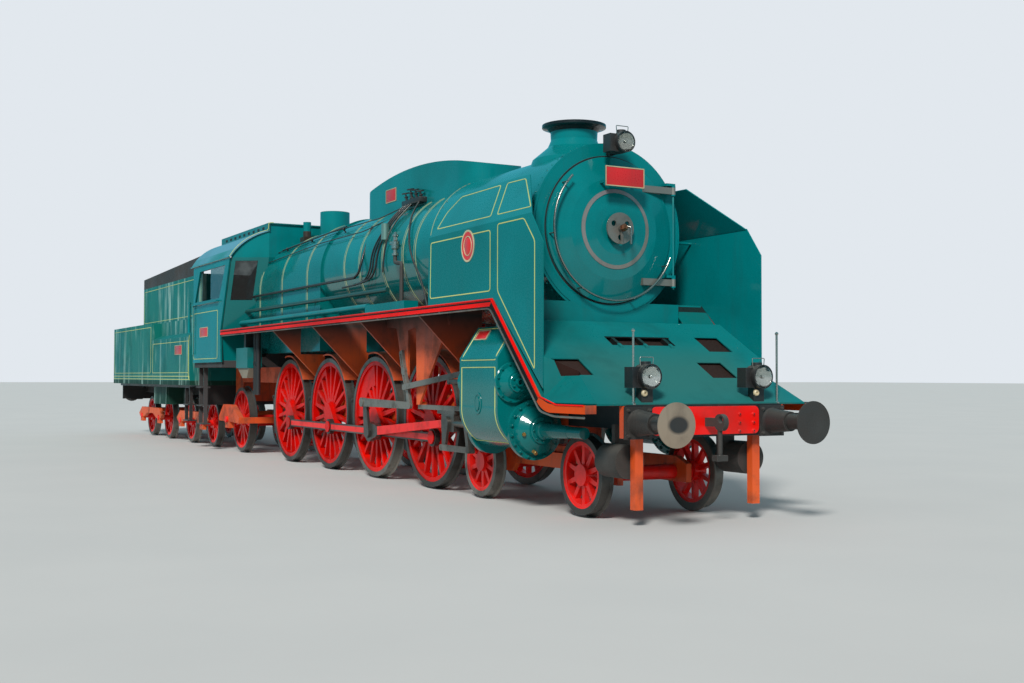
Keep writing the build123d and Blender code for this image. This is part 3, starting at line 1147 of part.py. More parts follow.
def tender_bogie(x):
    """Outside-framed tender bogie with axleboxes and a centre plate."""
    z = TENDER_WHEEL_Z
    half = TENDER_BOGIE_WHEELBASE / 2
    beam = outline((-half - 330, z + 60), (-half, z + 230), (half, z + 230), (half + 330, z + 60), (half + 200, z - 20),
                   (half - 250, z - 20), (350, z + 90), (-350, z + 90), (-half + 250, z - 20), (-half - 200, z - 20))
    for end in (-half, half):
        beam = beam + Pos(end, z) * Rectangle(260, 280)
        beam = beam - Pos(end, z) * Circle(CARRYING_AXLE_RADIUS * 0.75 + JOURNAL_GAP)
    plate = side_plate(beam, -1080, -1000, x)
    bolster = block(x - 200, x + 200, -1010, 1010, z + 120, z + BOLSTER_TOP)
    return fuse(both_sides(plate) + [bolster]) - rod_z(PIVOT_RADIUS + JOURNAL_GAP, x, 0, z, z + 300)


# Tender
TENDER_BEAM_X = -(LENGTH_OVER_BUFFERS / 2) + 640
TENDER_DECK = 1330
TANK_TOP = 2780
BUNKER_TOP = 3720
BOARDS_TOP_REAR = 3960
BOARDS_TOP_FRONT = 4110
BOARDS_WALL = 30
TANK_WALL = 12
BUNKER_HALF = 1250
BUNKER_REAR = TENDER_BEAM_X + 2560
WELL_FLOOR = 1900
RECESS_REAR = TENDER_BEAM_X + 4660
RECESS_HALF = 1300
RECESS_SILL = 2370
RECESS_BACK = 2470
TOOL_BOX_X = (TENDER_FRONT - 4300, TENDER_FRONT - 3000)
TOOL_BOX_Y = (860, 1290)
TOOL_BOX_BOTTOM = 860
STEP_POST_X = TENDER_FRONT - 520
STEP_POST_Y = 1420
TENDER_STEPS = (560, 900)


def tender_frame():
    """Tender frame with its rear beam, bogie pivots, drawbar and floor."""
    x0, x1 = TENDER_BEAM_X, TENDER_FRONT
    floor = block(x0, x1, -1300, 1300, up(TENDER_DECK - 60), up(TENDER_DECK) - SEAT)
    sills = both_sides(block(x0, x1, -640, -560, up(TENDER_DECK - 250), up(TENDER_DECK - 60)))
    rear = block(x0, x0 + 50, -1250, 1250, up(TENDER_DECK - 420), up(TENDER_DECK - 60))
    front = block(x1 - 60, x1, -1250, 1250, up(TENDER_DECK - 420), up(TENDER_DECK - 60))
    pieces = [floor, rear, front] + sills
    for x in TENDER_BOGIE_X:
        pieces.append(block(x - 150, x + 150, -600, 600, up(TENDER_DECK - 460), up(TENDER_DECK - 60)))
        pieces.append(rod_z(PIVOT_RADIUS, x, 0, TENDER_WHEEL_Z + 130, up(TENDER_DECK - 450)))
        pieces.append(rod_z(PIVOT_PLATE, x, 0, TENDER_WHEEL_Z + BOLSTER_TOP + SEAT, up(TENDER_DECK - 450)))
    drawbar = block(TENDER_FRONT - 100, DRAWBAR_X, -60, 60, up(DRAWBAR_HEIGHT - 40), up(DRAWBAR_HEIGHT + 40)) \
        + rod_z(100, DRAWBAR_X, 0, up(DRAWBAR_HEIGHT - 40), up(DRAWBAR_HEIGHT + 40)) \
        - rod_z(DRAWBAR_PIN_RADIUS + JOURNAL_GAP, DRAWBAR_X, 0, up(DRAWBAR_HEIGHT - 80), up(DRAWBAR_HEIGHT + 80))
    hook_z = up(BUFFER_HEIGHT)
    hook = block(x0 - 190, x0 + 10, -28, 28, hook_z - 45, hook_z + 45) \
        + side_plate(Circle(88) - Pos(-20, 30) * Circle(38), -28, 28, x0 - 240, hook_z)
    posts = [block(STEP_POST_X + dx - 15, STEP_POST_X + dx + 15, -STEP_POST_Y, -STEP_POST_Y + 70, up(TENDER_STEPS[0]),
                   up(TENDER_DECK - 60)) for dx in (-190, 190)]
    treads = [block(STEP_POST_X - 205, STEP_POST_X + 205, -STEP_POST_Y - 40, -STEP_POST_Y + 160, up(z), up(z + 25))
              for z in TENDER_STEPS]
    rail = block(STEP_POST_X - 205, STEP_POST_X + 205, -STEP_POST_Y, -1290, up(TENDER_DECK - 60), up(TENDER_DECK - 35))
    return fuse(pieces + [drawbar, hook] + both_sides(fuse(posts + treads + [rail])))


def tender_tank():
    """Water tank with the open coal bunker let into its top, and the two tool boxes under the floor."""
    x0, x1 = TENDER_BEAM_X + 60, TENDER_FRONT
    low = block(x0, x1, -HALF_WIDTH, HALF_WIDTH, up(TENDER_DECK), up(TANK_TOP))
    high = block(BUNKER_REAR, x1, -BUNKER_HALF, BUNKER_HALF, up(TANK_TOP), up(BUNKER_TOP))
    well_rear, well_front = BUNKER_REAR + TANK_WALL, x1 - TANK_WALL
    well = side_plate(outline((well_rear, up(BUNKER_TOP + 10)), (well_rear, up(TANK_TOP)), (x1 - 1400, up(WELL_FLOOR)),
                              (well_front, up(WELL_FLOOR)), (well_front, up(BUNKER_TOP + 10))),
                      -BUNKER_HALF + TANK_WALL, BUNKER_HALF - TANK_WALL)
    tank = low + high - well
    recess = cross_plate(outline((-HALF_WIDTH - 1, up(RECESS_SILL)), (-RECESS_HALF, up(RECESS_BACK)),
                                 (-RECESS_HALF, up(TANK_TOP + 1)), (-HALF_WIDTH - 1, up(TANK_TOP + 1))),
                         RECESS_REAR, x1 + 1)
    for side in both_sides(recess):
        tank = tank - side
    box = block(*TOOL_BOX_X, -TOOL_BOX_Y[1], -TOOL_BOX_Y[0], up(TOOL_BOX_BOTTOM), up(TENDER_DECK - 60) - SEAT)
    lugs = []
    for y in LID_KNUCKLES:
        ends = (y - LID_KNUCKLE / 2, y + LID_KNUCKLE / 2)
        pin = rod_y(LID_PIN, LID_HINGE_X, ends[0] - 25, ends[1] + 25, LID_HINGE_Z)
        cheeks = [block(LID_HINGE_X - 20, LID_HINGE_X + 20, y0, y0 + 20, up(TANK_TOP) - 1, LID_HINGE_Z + 14)
                  for y0 in (ends[0] - 20 - SEAT, ends[1] + SEAT)]
        lugs.append(fuse([pin] + cheeks))
    return Compound([fuse([tank] + lugs).solid()] + [piece.solid() for piece in both_sides(box)])


def bunker_boards():
    """Raised boards round the bunker's top, rising towards the cab and open at the front."""
    x0, x1 = BUNKER_REAR, TENDER_FRONT
    rise = outline((x0, up(BUNKER_TOP) + SEAT), (x1, up(BUNKER_TOP) + SEAT), (x1, up(BOARDS_TOP_FRONT)),
                   (x0, up(BOARDS_TOP_REAR)))
    well = block(x0 + BOARDS_WALL, x1 + 1, -BUNKER_HALF + BOARDS_WALL, BUNKER_HALF - BOARDS_WALL, up(BUNKER_TOP),
                 up(BOARDS_TOP_FRONT + 10))
    return side_plate(rise, -BUNKER_HALF, BUNKER_HALF) - well


LID_X = TENDER_BEAM_X + 1360
LID_LENGTH = 700
LID_WIDTH = 1400
LID_THICKNESS = 30
LID_PIN = 8
LID_BARREL = 18
LID_HINGE_X = LID_X - LID_LENGTH / 2 - 25
LID_HINGE_Z = up(TANK_TOP) + LID_BARREL + 2
LID_KNUCKLES = (-450, 450)
LID_KNUCKLE = 110


def filler_lid():
    """Water filler lid with two hinge knuckles at its rear edge."""
    plate = block(LID_X - LID_LENGTH / 2, LID_X + LID_LENGTH / 2, -LID_WIDTH / 2, LID_WIDTH / 2, up(TANK_TOP) + SEAT,
                  up(TANK_TOP) + SEAT + LID_THICKNESS)
    handle = rod_x(12, LID_X + 220, LID_X + 330, -40, up(TANK_TOP) + LID_THICKNESS + 8) \
        + rod_x(12, LID_X + 220, LID_X + 330, 40, up(TANK_TOP) + LID_THICKNESS + 8)
    pieces = [plate, handle]
    for y in LID_KNUCKLES:
        ends = (y - LID_KNUCKLE / 2, y + LID_KNUCKLE / 2)
        arm = block(LID_HINGE_X, LID_X - LID_LENGTH / 2 + 60, *ends, LID_HINGE_Z - 4, LID_HINGE_Z + LID_BARREL)
        knuckle = arm + rod_y(LID_BARREL, LID_HINGE_X, *ends, LID_HINGE_Z)
        pieces.append(knuckle - rod_y(LID_PIN + JOURNAL_GAP, LID_HINGE_X, ends[0] - 5, ends[1] + 5, LID_HINGE_Z))
    return fuse(pieces)


# Smokebox door, hinged on the engine's left
DOOR_THICKNESS = 16
DOOR_DISH = 190
HINGE_Y = DOOR_RADIUS + 5
HINGE_X = SMOKEBOX_FRONT + 90
HINGE_HEIGHTS = (-600, 520)
HINGE_PIN = 14
HINGE_BARREL = 30
HINGE_HALF = 60
PLATE_X = ahead(3580)
PLATE_HALF_WIDTH = 275
PLATE_HALF_HEIGHT = 120
PLATE_RISE = 590


def smokebox_door():
    """Dished door in one thickness with its hinge straps."""
    z = up(BOILER_HEIGHT)
    x = SMOKEBOX_FRONT + SEAT
    outer = [(x, 0), (x, DOOR_RADIUS), (x + 30, DOOR_RADIUS), (x + 120, 600), (x + 170, 300), (x + DOOR_DISH, 0)]
    inner = [(x - 1, 0), (x - 1, DOOR_RADIUS - 60), (x + 12, DOOR_RADIUS - 60), (x + 104, 590), (x + 154, 290),
             (x + DOOR_DISH - DOOR_THICKNESS, 0)]
    door = spun_x(outer, 0, z) - spun_x(inner, 0, z)
    pieces = [door]
    for dz in HINGE_HEIGHTS:
        strap = flat_plate(outline((x + 20, 420), (x + 110, 420), (HINGE_X + 15, HINGE_Y), (HINGE_X - 15, HINGE_Y)),
                           z + dz - 40, z + dz + 40)
        barrel = rod_z(HINGE_BARREL, HINGE_X, HINGE_Y, z + dz - HINGE_HALF, z + dz + HINGE_HALF)
        pieces.append(strap + barrel - rod_z(HINGE_PIN + JOURNAL_GAP, HINGE_X, HINGE_Y, z + dz - 100, z + dz + 100))
    plate = block(PLATE_X, PLATE_X + 12, -PLATE_HALF_WIDTH, PLATE_HALF_WIDTH, z + PLATE_RISE - PLATE_HALF_HEIGHT,
                  z + PLATE_RISE + PLATE_HALF_HEIGHT)
    legs = [block(x + 90, PLATE_X + 1, y - 12, y + 12, z + PLATE_RISE - 60, z + PLATE_RISE - 30) for y in (-200, 200)]
    return fuse(pieces + [plate] + legs)


WHEEL_RADIUS = 185


def door_wheel():
    """Handwheel at the door's middle, a disc with three holes, and the locking handle before it."""
    x = SMOKEBOX_FRONT + SEAT + DOOR_DISH + SEAT
    z = up(BOILER_HEIGHT)
    disc = rod_x(WHEEL_RADIUS, x + 40, x + 60, 0, z)
    for i in range(3):
        y, rise = polar(WHEEL_RADIUS * 0.58, 30 + 120 * i)
        disc = disc - rod_x(34, x + 30, x + 70, y, z + rise)
    handle = block(x + 80, x + 100, -14, 14, z - 190, z + 30)
    return fuse([disc, rod_x(40, x, x + 110, 0, z), handle])


LAMP_Y = 735
LAMP_HEIGHT = 1530
LAMP_RADIUS = 130


def lamp(x, y, z, radius):
    """Round lamp facing forward, with the box at its right rear and the wire loop's stub on top."""
    drum = rod_x(radius, x - 130, x, y, z)
    rim = rod_x(radius, x, x + 45, y, z) - rod_x(radius - 12, x + 15, x + 50, y, z)
    box = block(x - 170, x - 20, y - radius - 60, y + 30, z - radius * 0.9, z + radius * 0.75)
    cap = rod_z(radius * 0.45, x - 70, y, z + radius * 0.8, z + radius + 25)
    return fuse([drum, rim, box, cap])


def headlamps():
    """Two lamps above the beam and one above the smokebox door."""
    lamps = []
    x = BEAM_FRONT
    for y in (-LAMP_Y, LAMP_Y):
        foot = side_plate(outline((x - 120, apron_height(x - 120) + SEAT), (x - 20, apron_height(x - 20) + SEAT),
                                  (x - 20, up(LAMP_HEIGHT - 30)), (x - 120, up(LAMP_HEIGHT - 30))), y - 70, y + 70)
        lamps.append(lamp(x + 15, y, up(LAMP_HEIGHT), LAMP_RADIUS) + foot)
    z = up(BOILER_HEIGHT + DOOR_RADIUS) + LAMP_RADIUS + 5
    front = SMOKEBOX_FRONT + 330
    arm = block(SMOKEBOX_FRONT - 60, front - 60, -40, 40, z - 110, z - 40)
    arm = arm - rod_x(SMOKEBOX_RADIUS + 30 + SEAT, SMOKEBOX_FRONT - 200, SMOKEBOX_FRONT, 0, up(BOILER_HEIGHT))
    lamps.append(lamp(front, 0, z, LAMP_RADIUS - 5) + arm)
    return Compound(lamps)


BOILER_PIPES = (
    # distance out, height, front end, radius
    (1010, 3060, ahead(-2400), 22),
    (1090, 2780, ahead(-900), 34),
    (1150, 2560, ahead(-1500), 45),
)
PIPE_CLIPS_X = (ahead(-6700), ahead(-5500), ahead(-4300))
INJECTOR_X = (ahead(-7740), ahead(-7000))
INJECTOR_Y = (1060, 1340)
INJECTOR_Z = (1680, 2060)
INJECTOR_PIPES = (ahead(-6930), ahead(-6760))


def boiler_pipes():
    """Long pipes beside the boiler above the running boards, clipped to the firebox."""
    pipes = []
    for y, height, front, radius in BOILER_PIPES:
        pipe = rod_x(radius, CAB_CORNER_LOW, front, -y, up(height))
        for x in PIPE_CLIPS_X:
            pipe = pipe + block(x - 15, x + 15, -y, -FIREBOX_HALF - SEAT, up(height) - 15, up(height) + 15)
        pipes += both_sides(pipe)
    zone = cab_space(SEAT, up(BOARD_TOP) + SEAT, CAB_WALL)
    return Compound([(pipe - zone).solid() for pipe in pipes])


def injectors():
    """Water tank of the injector and two delivery pipes, hung under each running board."""
    x0, x1 = INJECTOR_X
    y0, y1 = -INJECTOR_Y[1], -INJECTOR_Y[0]
    z0, z1 = INJECTOR_Z
    under = up(BOARD_TOP) - BOARD_THICKNESS - SEAT
    body = block(x0, x1, y0, y1, up(z0), up(z1))
    foot = side_plate(outline((x0, up(z0) + 1), (x1, up(z0) + 1), (x1 - 120, up(z0 - 190)), (x0 + 330, up(z0 - 190))),
                      y0 + 30, y1 - 30)
    hanger = block((x0 + x1) / 2 - 60, (x0 + x1) / 2 + 60, y0 + 60, y1 - 60, up(z1) - 1, under)
    pieces = [body, foot, hanger]
    pieces.append(block(x1 - 1, INJECTOR_PIPES[1], (y0 + y1) / 2 - 30, (y0 + y1) / 2 + 30, up(z0 + 60), up(z0 + 120)))
    for x in INJECTOR_PIPES:
        pieces.append(rod_z(42, x, (y0 + y1) / 2, up(1180), under))
    return Compound([piece.solid() for piece in both_sides(fuse(pieces))])


def write(name, shape):
    solids = shape.solids()
    whole = solids[0] if len(solids) == 1 else Compound(solids)
    whole.label = name
    export_step(whole, "parts/" + name + ".step")


os.makedirs("parts", exist_ok=True)

NODES = {
    "main_frames": main_frames(),
    "front_beam": front_beam(),
    "front_buffers": Compound([buffer_unit(BEAM_FRONT + SEAT, 1, side) for side in (-1, 1)]),
    "front_coupling": front_coupling(),
    "front_apron": apron(),
    "smokebox_shell": smokebox_shell(),
    "smokebox_ends": smokebox_ends(),
    "smokebox_saddle": smokebox_saddle(),
    "blast_pipe": blast_pipe(),
    "chimney": chimney(),
    "boiler_barrel": boiler_barrel(),
    "firebox": firebox(),
    "dome_casing": dome_casing(),
    "boiler_mountings": boiler_mountings(),
    "slide_bars": slide_bars(),
    "main_rods": Compound([main_rod(-1), main_rod(1)]),
    "valve_gear": Compound([valve_gear(-1), valve_gear(1)]),
    "cab_floor": cab_floor(),
    "cab_front": cab_front(),
    "cab_roof": cab_roof(),
    "cab_glass": cab_glass(),
    "ashpan": ashpan(),
    "brake_gear": brake_gear(),
    "injectors": injectors(),
    "air_tanks": air_tanks(),
    "boiler_pipes": boiler_pipes(),
    "headlamps": headlamps(),
    "smokebox_door": smokebox_door(),
    "door_wheel": door_wheel(),
    "leading_bogie": leading_bogie(),
    "trailing_truck": trailing_truck(),
    "trailing_wheels": carrying_wheels(TRAILING_DIAMETER, TRAILING_SPOKES, TRAILING_X, TRAILING_Z, 1150),
    "tender_frame": tender_frame(),
    "tender_tank": tender_tank(),
    "bunker_boards": bunker_boards(),
    "tender_buffers": Compound([buffer_unit(TENDER_BEAM_X - SEAT, -1, side) for side in (-1, 1)]),
    "filler_lid": filler_lid(),
}
for name, right in (("running_boards", running_board()), ("smoke_deflectors", deflector()),
                    ("cylinders", cylinder()), ("cab_sides", cab_side())):
    NODES[name] = Compound([piece.solid() for piece in both_sides(right)])
for side, word in ((-1, "right"), (1, "left")):
    NODES["side_rod_" + word] = side_rod(side)
for i in range(DRIVER_COUNT):
    NODES[f"driver_{i + 1}_centres"] = driving_wheels(i)
    NODES[f"driver_{i + 1}_tyres"] = driving_tyres(i)
for i, x in enumerate(LEADING_X):
    NODES[f"leading_wheels_{i + 1}"] = carrying_wheels(LEADING_DIAMETER, LEADING_SPOKES, x, LEADING_Z, 0)
for i, x in enumerate(TENDER_BOGIE_X):
    NODES[f"tender_bogie_{i + 1}"] = tender_bogie(x)
    for j, step in enumerate((1, -1)):
        axle_x = x + step * TENDER_BOGIE_WHEELBASE / 2
        NODES[f"tender_wheels_{2 * i + j + 1}"] = carrying_wheels(TENDER_WHEEL_DIAMETER, LEADING_SPOKES, axle_x,
                                                                  TENDER_WHEEL_Z, 1100)

for name, shape in NODES.items():
    write(name, shape)
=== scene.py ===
# %% [markdown]
# # A steam locomotive and its tender, dressed for a portrait
# The metalwork comes in as a fixed frame of parts, already in metres. This lesson gives each part its paint
# or bare steel, adds what a paint shop and a fitter add (lining, rivets, bolts, handrails, lamps, plates,
# pipes), and sets up a plain studio. X runs forward, Y to the engine's left and Z up.

# %% Load the frame
from math import asin, atan2, cos, hypot, pi, radians, sin

import bpy
from mathutils import Matrix, Vector


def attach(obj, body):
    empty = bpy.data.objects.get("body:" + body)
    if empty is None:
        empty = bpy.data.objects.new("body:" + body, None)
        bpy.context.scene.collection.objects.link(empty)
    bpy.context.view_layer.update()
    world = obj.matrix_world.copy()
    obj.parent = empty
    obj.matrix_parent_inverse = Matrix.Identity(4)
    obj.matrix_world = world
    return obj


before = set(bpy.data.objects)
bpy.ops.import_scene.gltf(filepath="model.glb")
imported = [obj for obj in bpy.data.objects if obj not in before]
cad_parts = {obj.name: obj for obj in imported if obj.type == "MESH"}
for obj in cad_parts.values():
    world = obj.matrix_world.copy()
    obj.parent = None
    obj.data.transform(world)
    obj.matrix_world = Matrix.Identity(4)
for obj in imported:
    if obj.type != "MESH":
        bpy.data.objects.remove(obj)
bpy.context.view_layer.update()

# %% [markdown]
# ## The camera
# The photograph was taken from the engine's right, a little ahead of the buffers and at a standing person's
# eye height. A camera is turned in three steps: pan about the vertical, pitch about its own side axis, and a
# trace of roll about its line of sight. Multiplying the three rotations in that order keeps each one
# readable.

# %% Camera
CAMERA_PLACE = (22.3744, -8.004, 1.5492)
CAMERA_PAN = 61.3029
CAMERA_PITCH = 1.6585
CAMERA_ROLL = 0.1348
CAMERA_LENS = 43.101

camera_data = bpy.data.cameras.new("camera")
camera_data.sensor_width = 36.0
camera_data.sensor_fit = "HORIZONTAL"
camera_data.lens = CAMERA_LENS
camera_data.clip_end = 500.0
camera = bpy.data.objects.new("camera", camera_data)
bpy.context.scene.collection.objects.link(camera)
camera.matrix_world = (
    Matrix.Translation(CAMERA_PLACE)
    @ Matrix.Rotation(radians(CAMERA_PAN), 4, "Z")
    @ Matrix.Rotation(radians(90 + CAMERA_PITCH), 4, "X")
    @ Matrix.Rotation(radians(CAMERA_ROLL), 4, "Z")
)
bpy.context.scene.camera = camera
bpy.context.scene.view_settings.view_transform = "Standard"
print("camera lens:", camera_data.lens, "mm")

# %% [markdown]
# ## Small tools
# Every operator works on what is selected, so each tool first clears the selection, which the loaded frame
# fills. A finished piece has its place in its mesh and its object at the origin, so `settle` applies all
# transforms.

# %% Tools for selecting and settling
def deselect():
    bpy.ops.object.select_all(action="DESELECT")


def only(piece):
    """Makes a piece the one selected and active object."""
    deselect()
    piece.select_set(True)
    bpy.context.view_layer.objects.active = piece
    return piece


def edit(piece, mode="VERT"):
    """Opens a piece in edit mode with everything selected."""
    only(piece)
    bpy.ops.object.mode_set(mode="EDIT")
    bpy.ops.mesh.select_mode(type=mode)
    bpy.ops.mesh.select_all(action="SELECT")


def leave():
    bpy.ops.object.mode_set(mode="OBJECT")


def extrude(move):
    """Extrudes what is selected by a move."""
    bpy.ops.mesh.extrude_region_move(TRANSFORM_OT_translate={"value": move})


def settle(piece):
    """Puts the place into the mesh and the object at the origin."""
    only(piece)
    bpy.ops.object.transform_apply(location=True, rotation=True, scale=True)
    return piece


def apply_modifiers(piece):
    only(piece)
    for modifier in list(piece.modifiers):
        bpy.ops.object.modifier_apply(modifier=modifier.name)


def mend(piece, gap=0.0002):
    """Merges doubled points and turns all faces outwards."""
    edit(piece)
    bpy.ops.mesh.remove_doubles(threshold=gap)
    bpy.ops.mesh.normals_make_consistent(inside=False)
    leave()


def smooth(piece, angle=35):
    only(piece)
    bpy.ops.object.shade_smooth_by_angle(angle=radians(angle))


def join(pieces, name):
    """One piece from several."""
    deselect()
    for piece in pieces:
        piece.select_set(True)
    bpy.context.view_layer.objects.active = pieces[0]
    if len(pieces) > 1:
        bpy.ops.object.join()
    joined = bpy.context.view_layer.objects.active
    joined.name = name
    return settle(joined)


made = []


def dress(piece, material, body="locomotive"):
    """Gives a finished piece its material and its body, and adds it to the list of made pieces."""
    settle(piece)
    piece.data.materials.clear()
    piece.data.materials.append(material)
    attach(piece, body)
    made.append(piece)
    return piece


print("tools ready")

# %% [markdown]
# ## Shader groups
# Weather acts the same way on every finish: large soft colour changes, run-down streaks, grime in patches,
# dust on what faces up, and paint rubbed off the edges. Each effect is built once as a node group that puts
# out masks. The materials then decide which colour each mask brings.

# %% Helpers for shader trees
def to_linear(value):
    """One channel of a screen colour, 0 to 255, made linear."""
    share = value / 255
    return share / 12.92 if share <= 0.04045 else ((share + 0.055) / 1.055) ** 2.4


def tint(red, green, blue):
    """Linear colour from a screen colour."""
    return (to_linear(red), to_linear(green), to_linear(blue), 1.0)


def feed(tree, socket, value):
    """Links another node's output to a socket, or sets the socket's own value."""
    if isinstance(value, bpy.types.NodeSocket):
        tree.links.new(value, socket)
    else:
        socket.default_value = value


def add_node(tree, kind, values=None, **settings):
    """A node with its settings, its sockets fed with values or with other nodes' outputs."""
    made_node = tree.nodes.new(kind)
    for key, value in settings.items():
        setattr(made_node, key, value)
    for key, value in (values or {}).items():
        feed(tree, made_node.inputs[key], value)
    return made_node


def maths(tree, operation, first, second=None, clamp=False):
    """A math node's output."""
    values = {0: first} if second is None else {0: first, 1: second}
    return add_node(tree, "ShaderNodeMath", values, operation=operation, use_clamp=clamp).outputs[0]


def vector_maths(tree, operation, *values):
    """A vector math node."""
    return add_node(tree, "ShaderNodeVectorMath", dict(enumerate(values)), operation=operation)


def ramp(tree, value, low, high, to_low=0.0, to_high=1.0):
    """A smooth step of a value between two limits."""
    values = {"Value": value, "From Min": low, "From Max": high, "To Min": to_low, "To Max": to_high}
    return add_node(tree, "ShaderNodeMapRange", values, interpolation_type="SMOOTHSTEP").outputs["Result"]


def noise(tree, vector, scale, detail=4.0, rough=0.55):
    values = {"Vector": vector, "Scale": scale, "Detail": detail, "Roughness": rough}
    return add_node(tree, "ShaderNodeTexNoise", values).outputs["Fac"]


def own_place(tree):
    """The place on the piece, in the piece's own metres."""
    return add_node(tree, "ShaderNodeTexCoord").outputs["Object"]


def new_group(name, inputs, outputs):
    """An empty node group: its tree, the sockets that come in and those that go out."""
    tree = bpy.data.node_groups.new(name, "ShaderNodeTree")
    for title, value in inputs.items():
        kind = "NodeSocketFloat" if isinstance(value, float) else "NodeSocketVector"
        tree.interface.new_socket(title, in_out="INPUT", socket_type=kind).default_value = value
    for title in outputs:
        tree.interface.new_socket(title, in_out="OUTPUT", socket_type="NodeSocketFloat")
    return tree, tree.nodes.new("NodeGroupInput").outputs, tree.nodes.new("NodeGroupOutput").inputs


print("shader helpers ready")

# %% Group: weather
weather, entry, result = new_group("weather", {
    "Patch Scale": 1.6, "Grime": 0.4, "Streak Width": 7.0, "Streaks": 0.2, "Dust": 0.3, "Grain Scale": 60.0,
}, ("Mottle", "Grime", "Streaks", "Dust", "Grain"))
place = own_place(weather)
normal = add_node(weather, "ShaderNodeNewGeometry").outputs["Normal"]
upward = add_node(weather, "ShaderNodeSeparateXYZ", {0: normal}).outputs["Z"]
upright = maths(weather, "SUBTRACT", 1.0, maths(weather, "ABSOLUTE", upward))
patches = noise(weather, place, entry["Patch Scale"], 6.0, 0.6)
grain = noise(weather, place, entry["Grain Scale"], 4.0, 0.6)
drawn_out = add_node(weather, "ShaderNodeMapping", {"Vector": place, "Scale": (1.0, 1.0, 0.09)})
run_down = noise(weather, drawn_out.outputs["Vector"], entry["Streak Width"], 4.0, 0.65)
streaky = maths(weather, "MULTIPLY", ramp(weather, run_down, 0.52, 0.7), upright)
dusty = maths(weather, "MULTIPLY", ramp(weather, upward, 0.25, 0.95), ramp(weather, grain, 0.2, 0.75))
masks = {
    "Mottle": noise(weather, place, 0.45, 3.0, 0.5),
    "Grime": maths(weather, "MULTIPLY", ramp(weather, patches, 0.46, 0.74), entry["Grime"], True),
    "Streaks": maths(weather, "MULTIPLY", streaky, entry["Streaks"], True),
    "Dust": maths(weather, "MULTIPLY", dusty, entry["Dust"], True),
    "Grain": grain,
}
for title, mask in masks.items():
    feed(weather, result[title], mask)
print("group weather:", len(weather.nodes), "nodes")

# %% Group: edge wear
edge_wear, entry, result = new_group(
    "edge_wear", {"Width": 0.006, "Amount": 0.6, "Patch Scale": 9.0}, ("Edge",))
rounded = add_node(edge_wear, "ShaderNodeBevel", {"Radius": entry["Width"]}, samples=4).outputs["Normal"]
flat = add_node(edge_wear, "ShaderNodeNewGeometry").outputs["Normal"]
likeness = vector_maths(edge_wear, "DOT_PRODUCT", rounded, flat).outputs["Value"]
turned_away = ramp(edge_wear, maths(edge_wear, "SUBTRACT", 1.0, likeness), 0.015, 0.16)
broken = ramp(edge_wear, noise(edge_wear, own_place(edge_wear), entry["Patch Scale"], 5.0, 0.65), 0.42, 0.66)
uneven = maths(edge_wear, "MULTIPLY", turned_away, broken)
feed(edge_wear, result["Edge"], maths(edge_wear, "MULTIPLY", uneven, entry["Amount"], True))
print("group edge_wear:", len(edge_wear.nodes), "nodes")

# %% [markdown]
# A part that leaves the frame as one node can carry two finishes, such as a black chimney lip on a green
# neck. A box zone lies between two corners in the frame's own metres, and a round zone lies about an axis.
# Both are masks that let a material change colour there, with no cut in the metal.

# %% Groups: box zone and round zone
ORIGIN = (0.0, 0.0, 0.0)


def soft_edge(tree, inside, soft):
    """A mask that rises over a soft width where a distance turns positive."""
    return maths(tree, "ADD", maths(tree, "DIVIDE", inside, soft), 0.5, True)


box_zone, entry, result = new_group(
    "box_zone", {"Vector": ORIGIN, "Low": ORIGIN, "High": ORIGIN, "Soft": 0.002}, ("Mask",))
parted = {title: add_node(box_zone, "ShaderNodeSeparateXYZ", {0: entry[title]}).outputs
          for title in ("Vector", "Low", "High")}
mask = 1.0
for axis in "XYZ":
    for farther, nearer in (("Vector", "Low"), ("High", "Vector")):
        inside = maths(box_zone, "SUBTRACT", parted[farther][axis], parted[nearer][axis])
        mask = maths(box_zone, "MINIMUM", mask, soft_edge(box_zone, inside, entry["Soft"]))
feed(box_zone, result["Mask"], mask)

round_zone, entry, result = new_group("round_zone", {
    "Vector": ORIGIN, "Centre": ORIGIN, "Across": (1.0, 1.0, 1.0), "Radius": 0.1, "Soft": 0.002,
}, ("Mask",))
offset = vector_maths(round_zone, "SUBTRACT", entry["Vector"], entry["Centre"]).outputs[0]
across = vector_maths(round_zone, "MULTIPLY", offset, entry["Across"]).outputs[0]
reach = vector_maths(round_zone, "LENGTH", across).outputs["Value"]
inside = maths(round_zone, "SUBTRACT", entry["Radius"], reach)
feed(round_zone, result["Mask"], soft_edge(round_zone, inside, entry["Soft"]))
print("zone groups ready")

# %% [markdown]
# ## Finishes
# `finish` builds one material. Its colour is a chain of mixes: base, a second shade in large patches, zones,
# streaks, grime, dust, and at last the bare metal or primer on rubbed edges. Roughness follows the grain and
# the grime, and a fine bump gives sprayed enamel its orange peel or a casting its sand.

# %% Finish builder
GRIME_BROWN = tint(52, 44, 38)
DUST_GREY = tint(150, 146, 136)
BARE_STEEL = tint(120, 118, 114)


def blend_colour(tree, mask, first, second):
    """Mix of two colours by a mask, and its output."""
    values = {"Factor": mask, 6: first, 7: second}
    return add_node(tree, "ShaderNodeMix", values, data_type="RGBA").outputs[2]


def blend_value(tree, mask, first, second):
    """Mix of two numbers by a mask, and its output."""
    values = {"Factor": mask, 2: first, 3: second}
    return add_node(tree, "ShaderNodeMix", values, data_type="FLOAT").outputs[0]


def use_group(tree, group, values):
    return add_node(tree, "ShaderNodeGroup", values, node_tree=group).outputs


def new_material(name):
    """A material, its node tree and its shader's sockets."""
    material = bpy.data.materials.new(name)
    material.use_nodes = True
    return material, material.node_tree, material.node_tree.nodes["Principled BSDF"].inputs


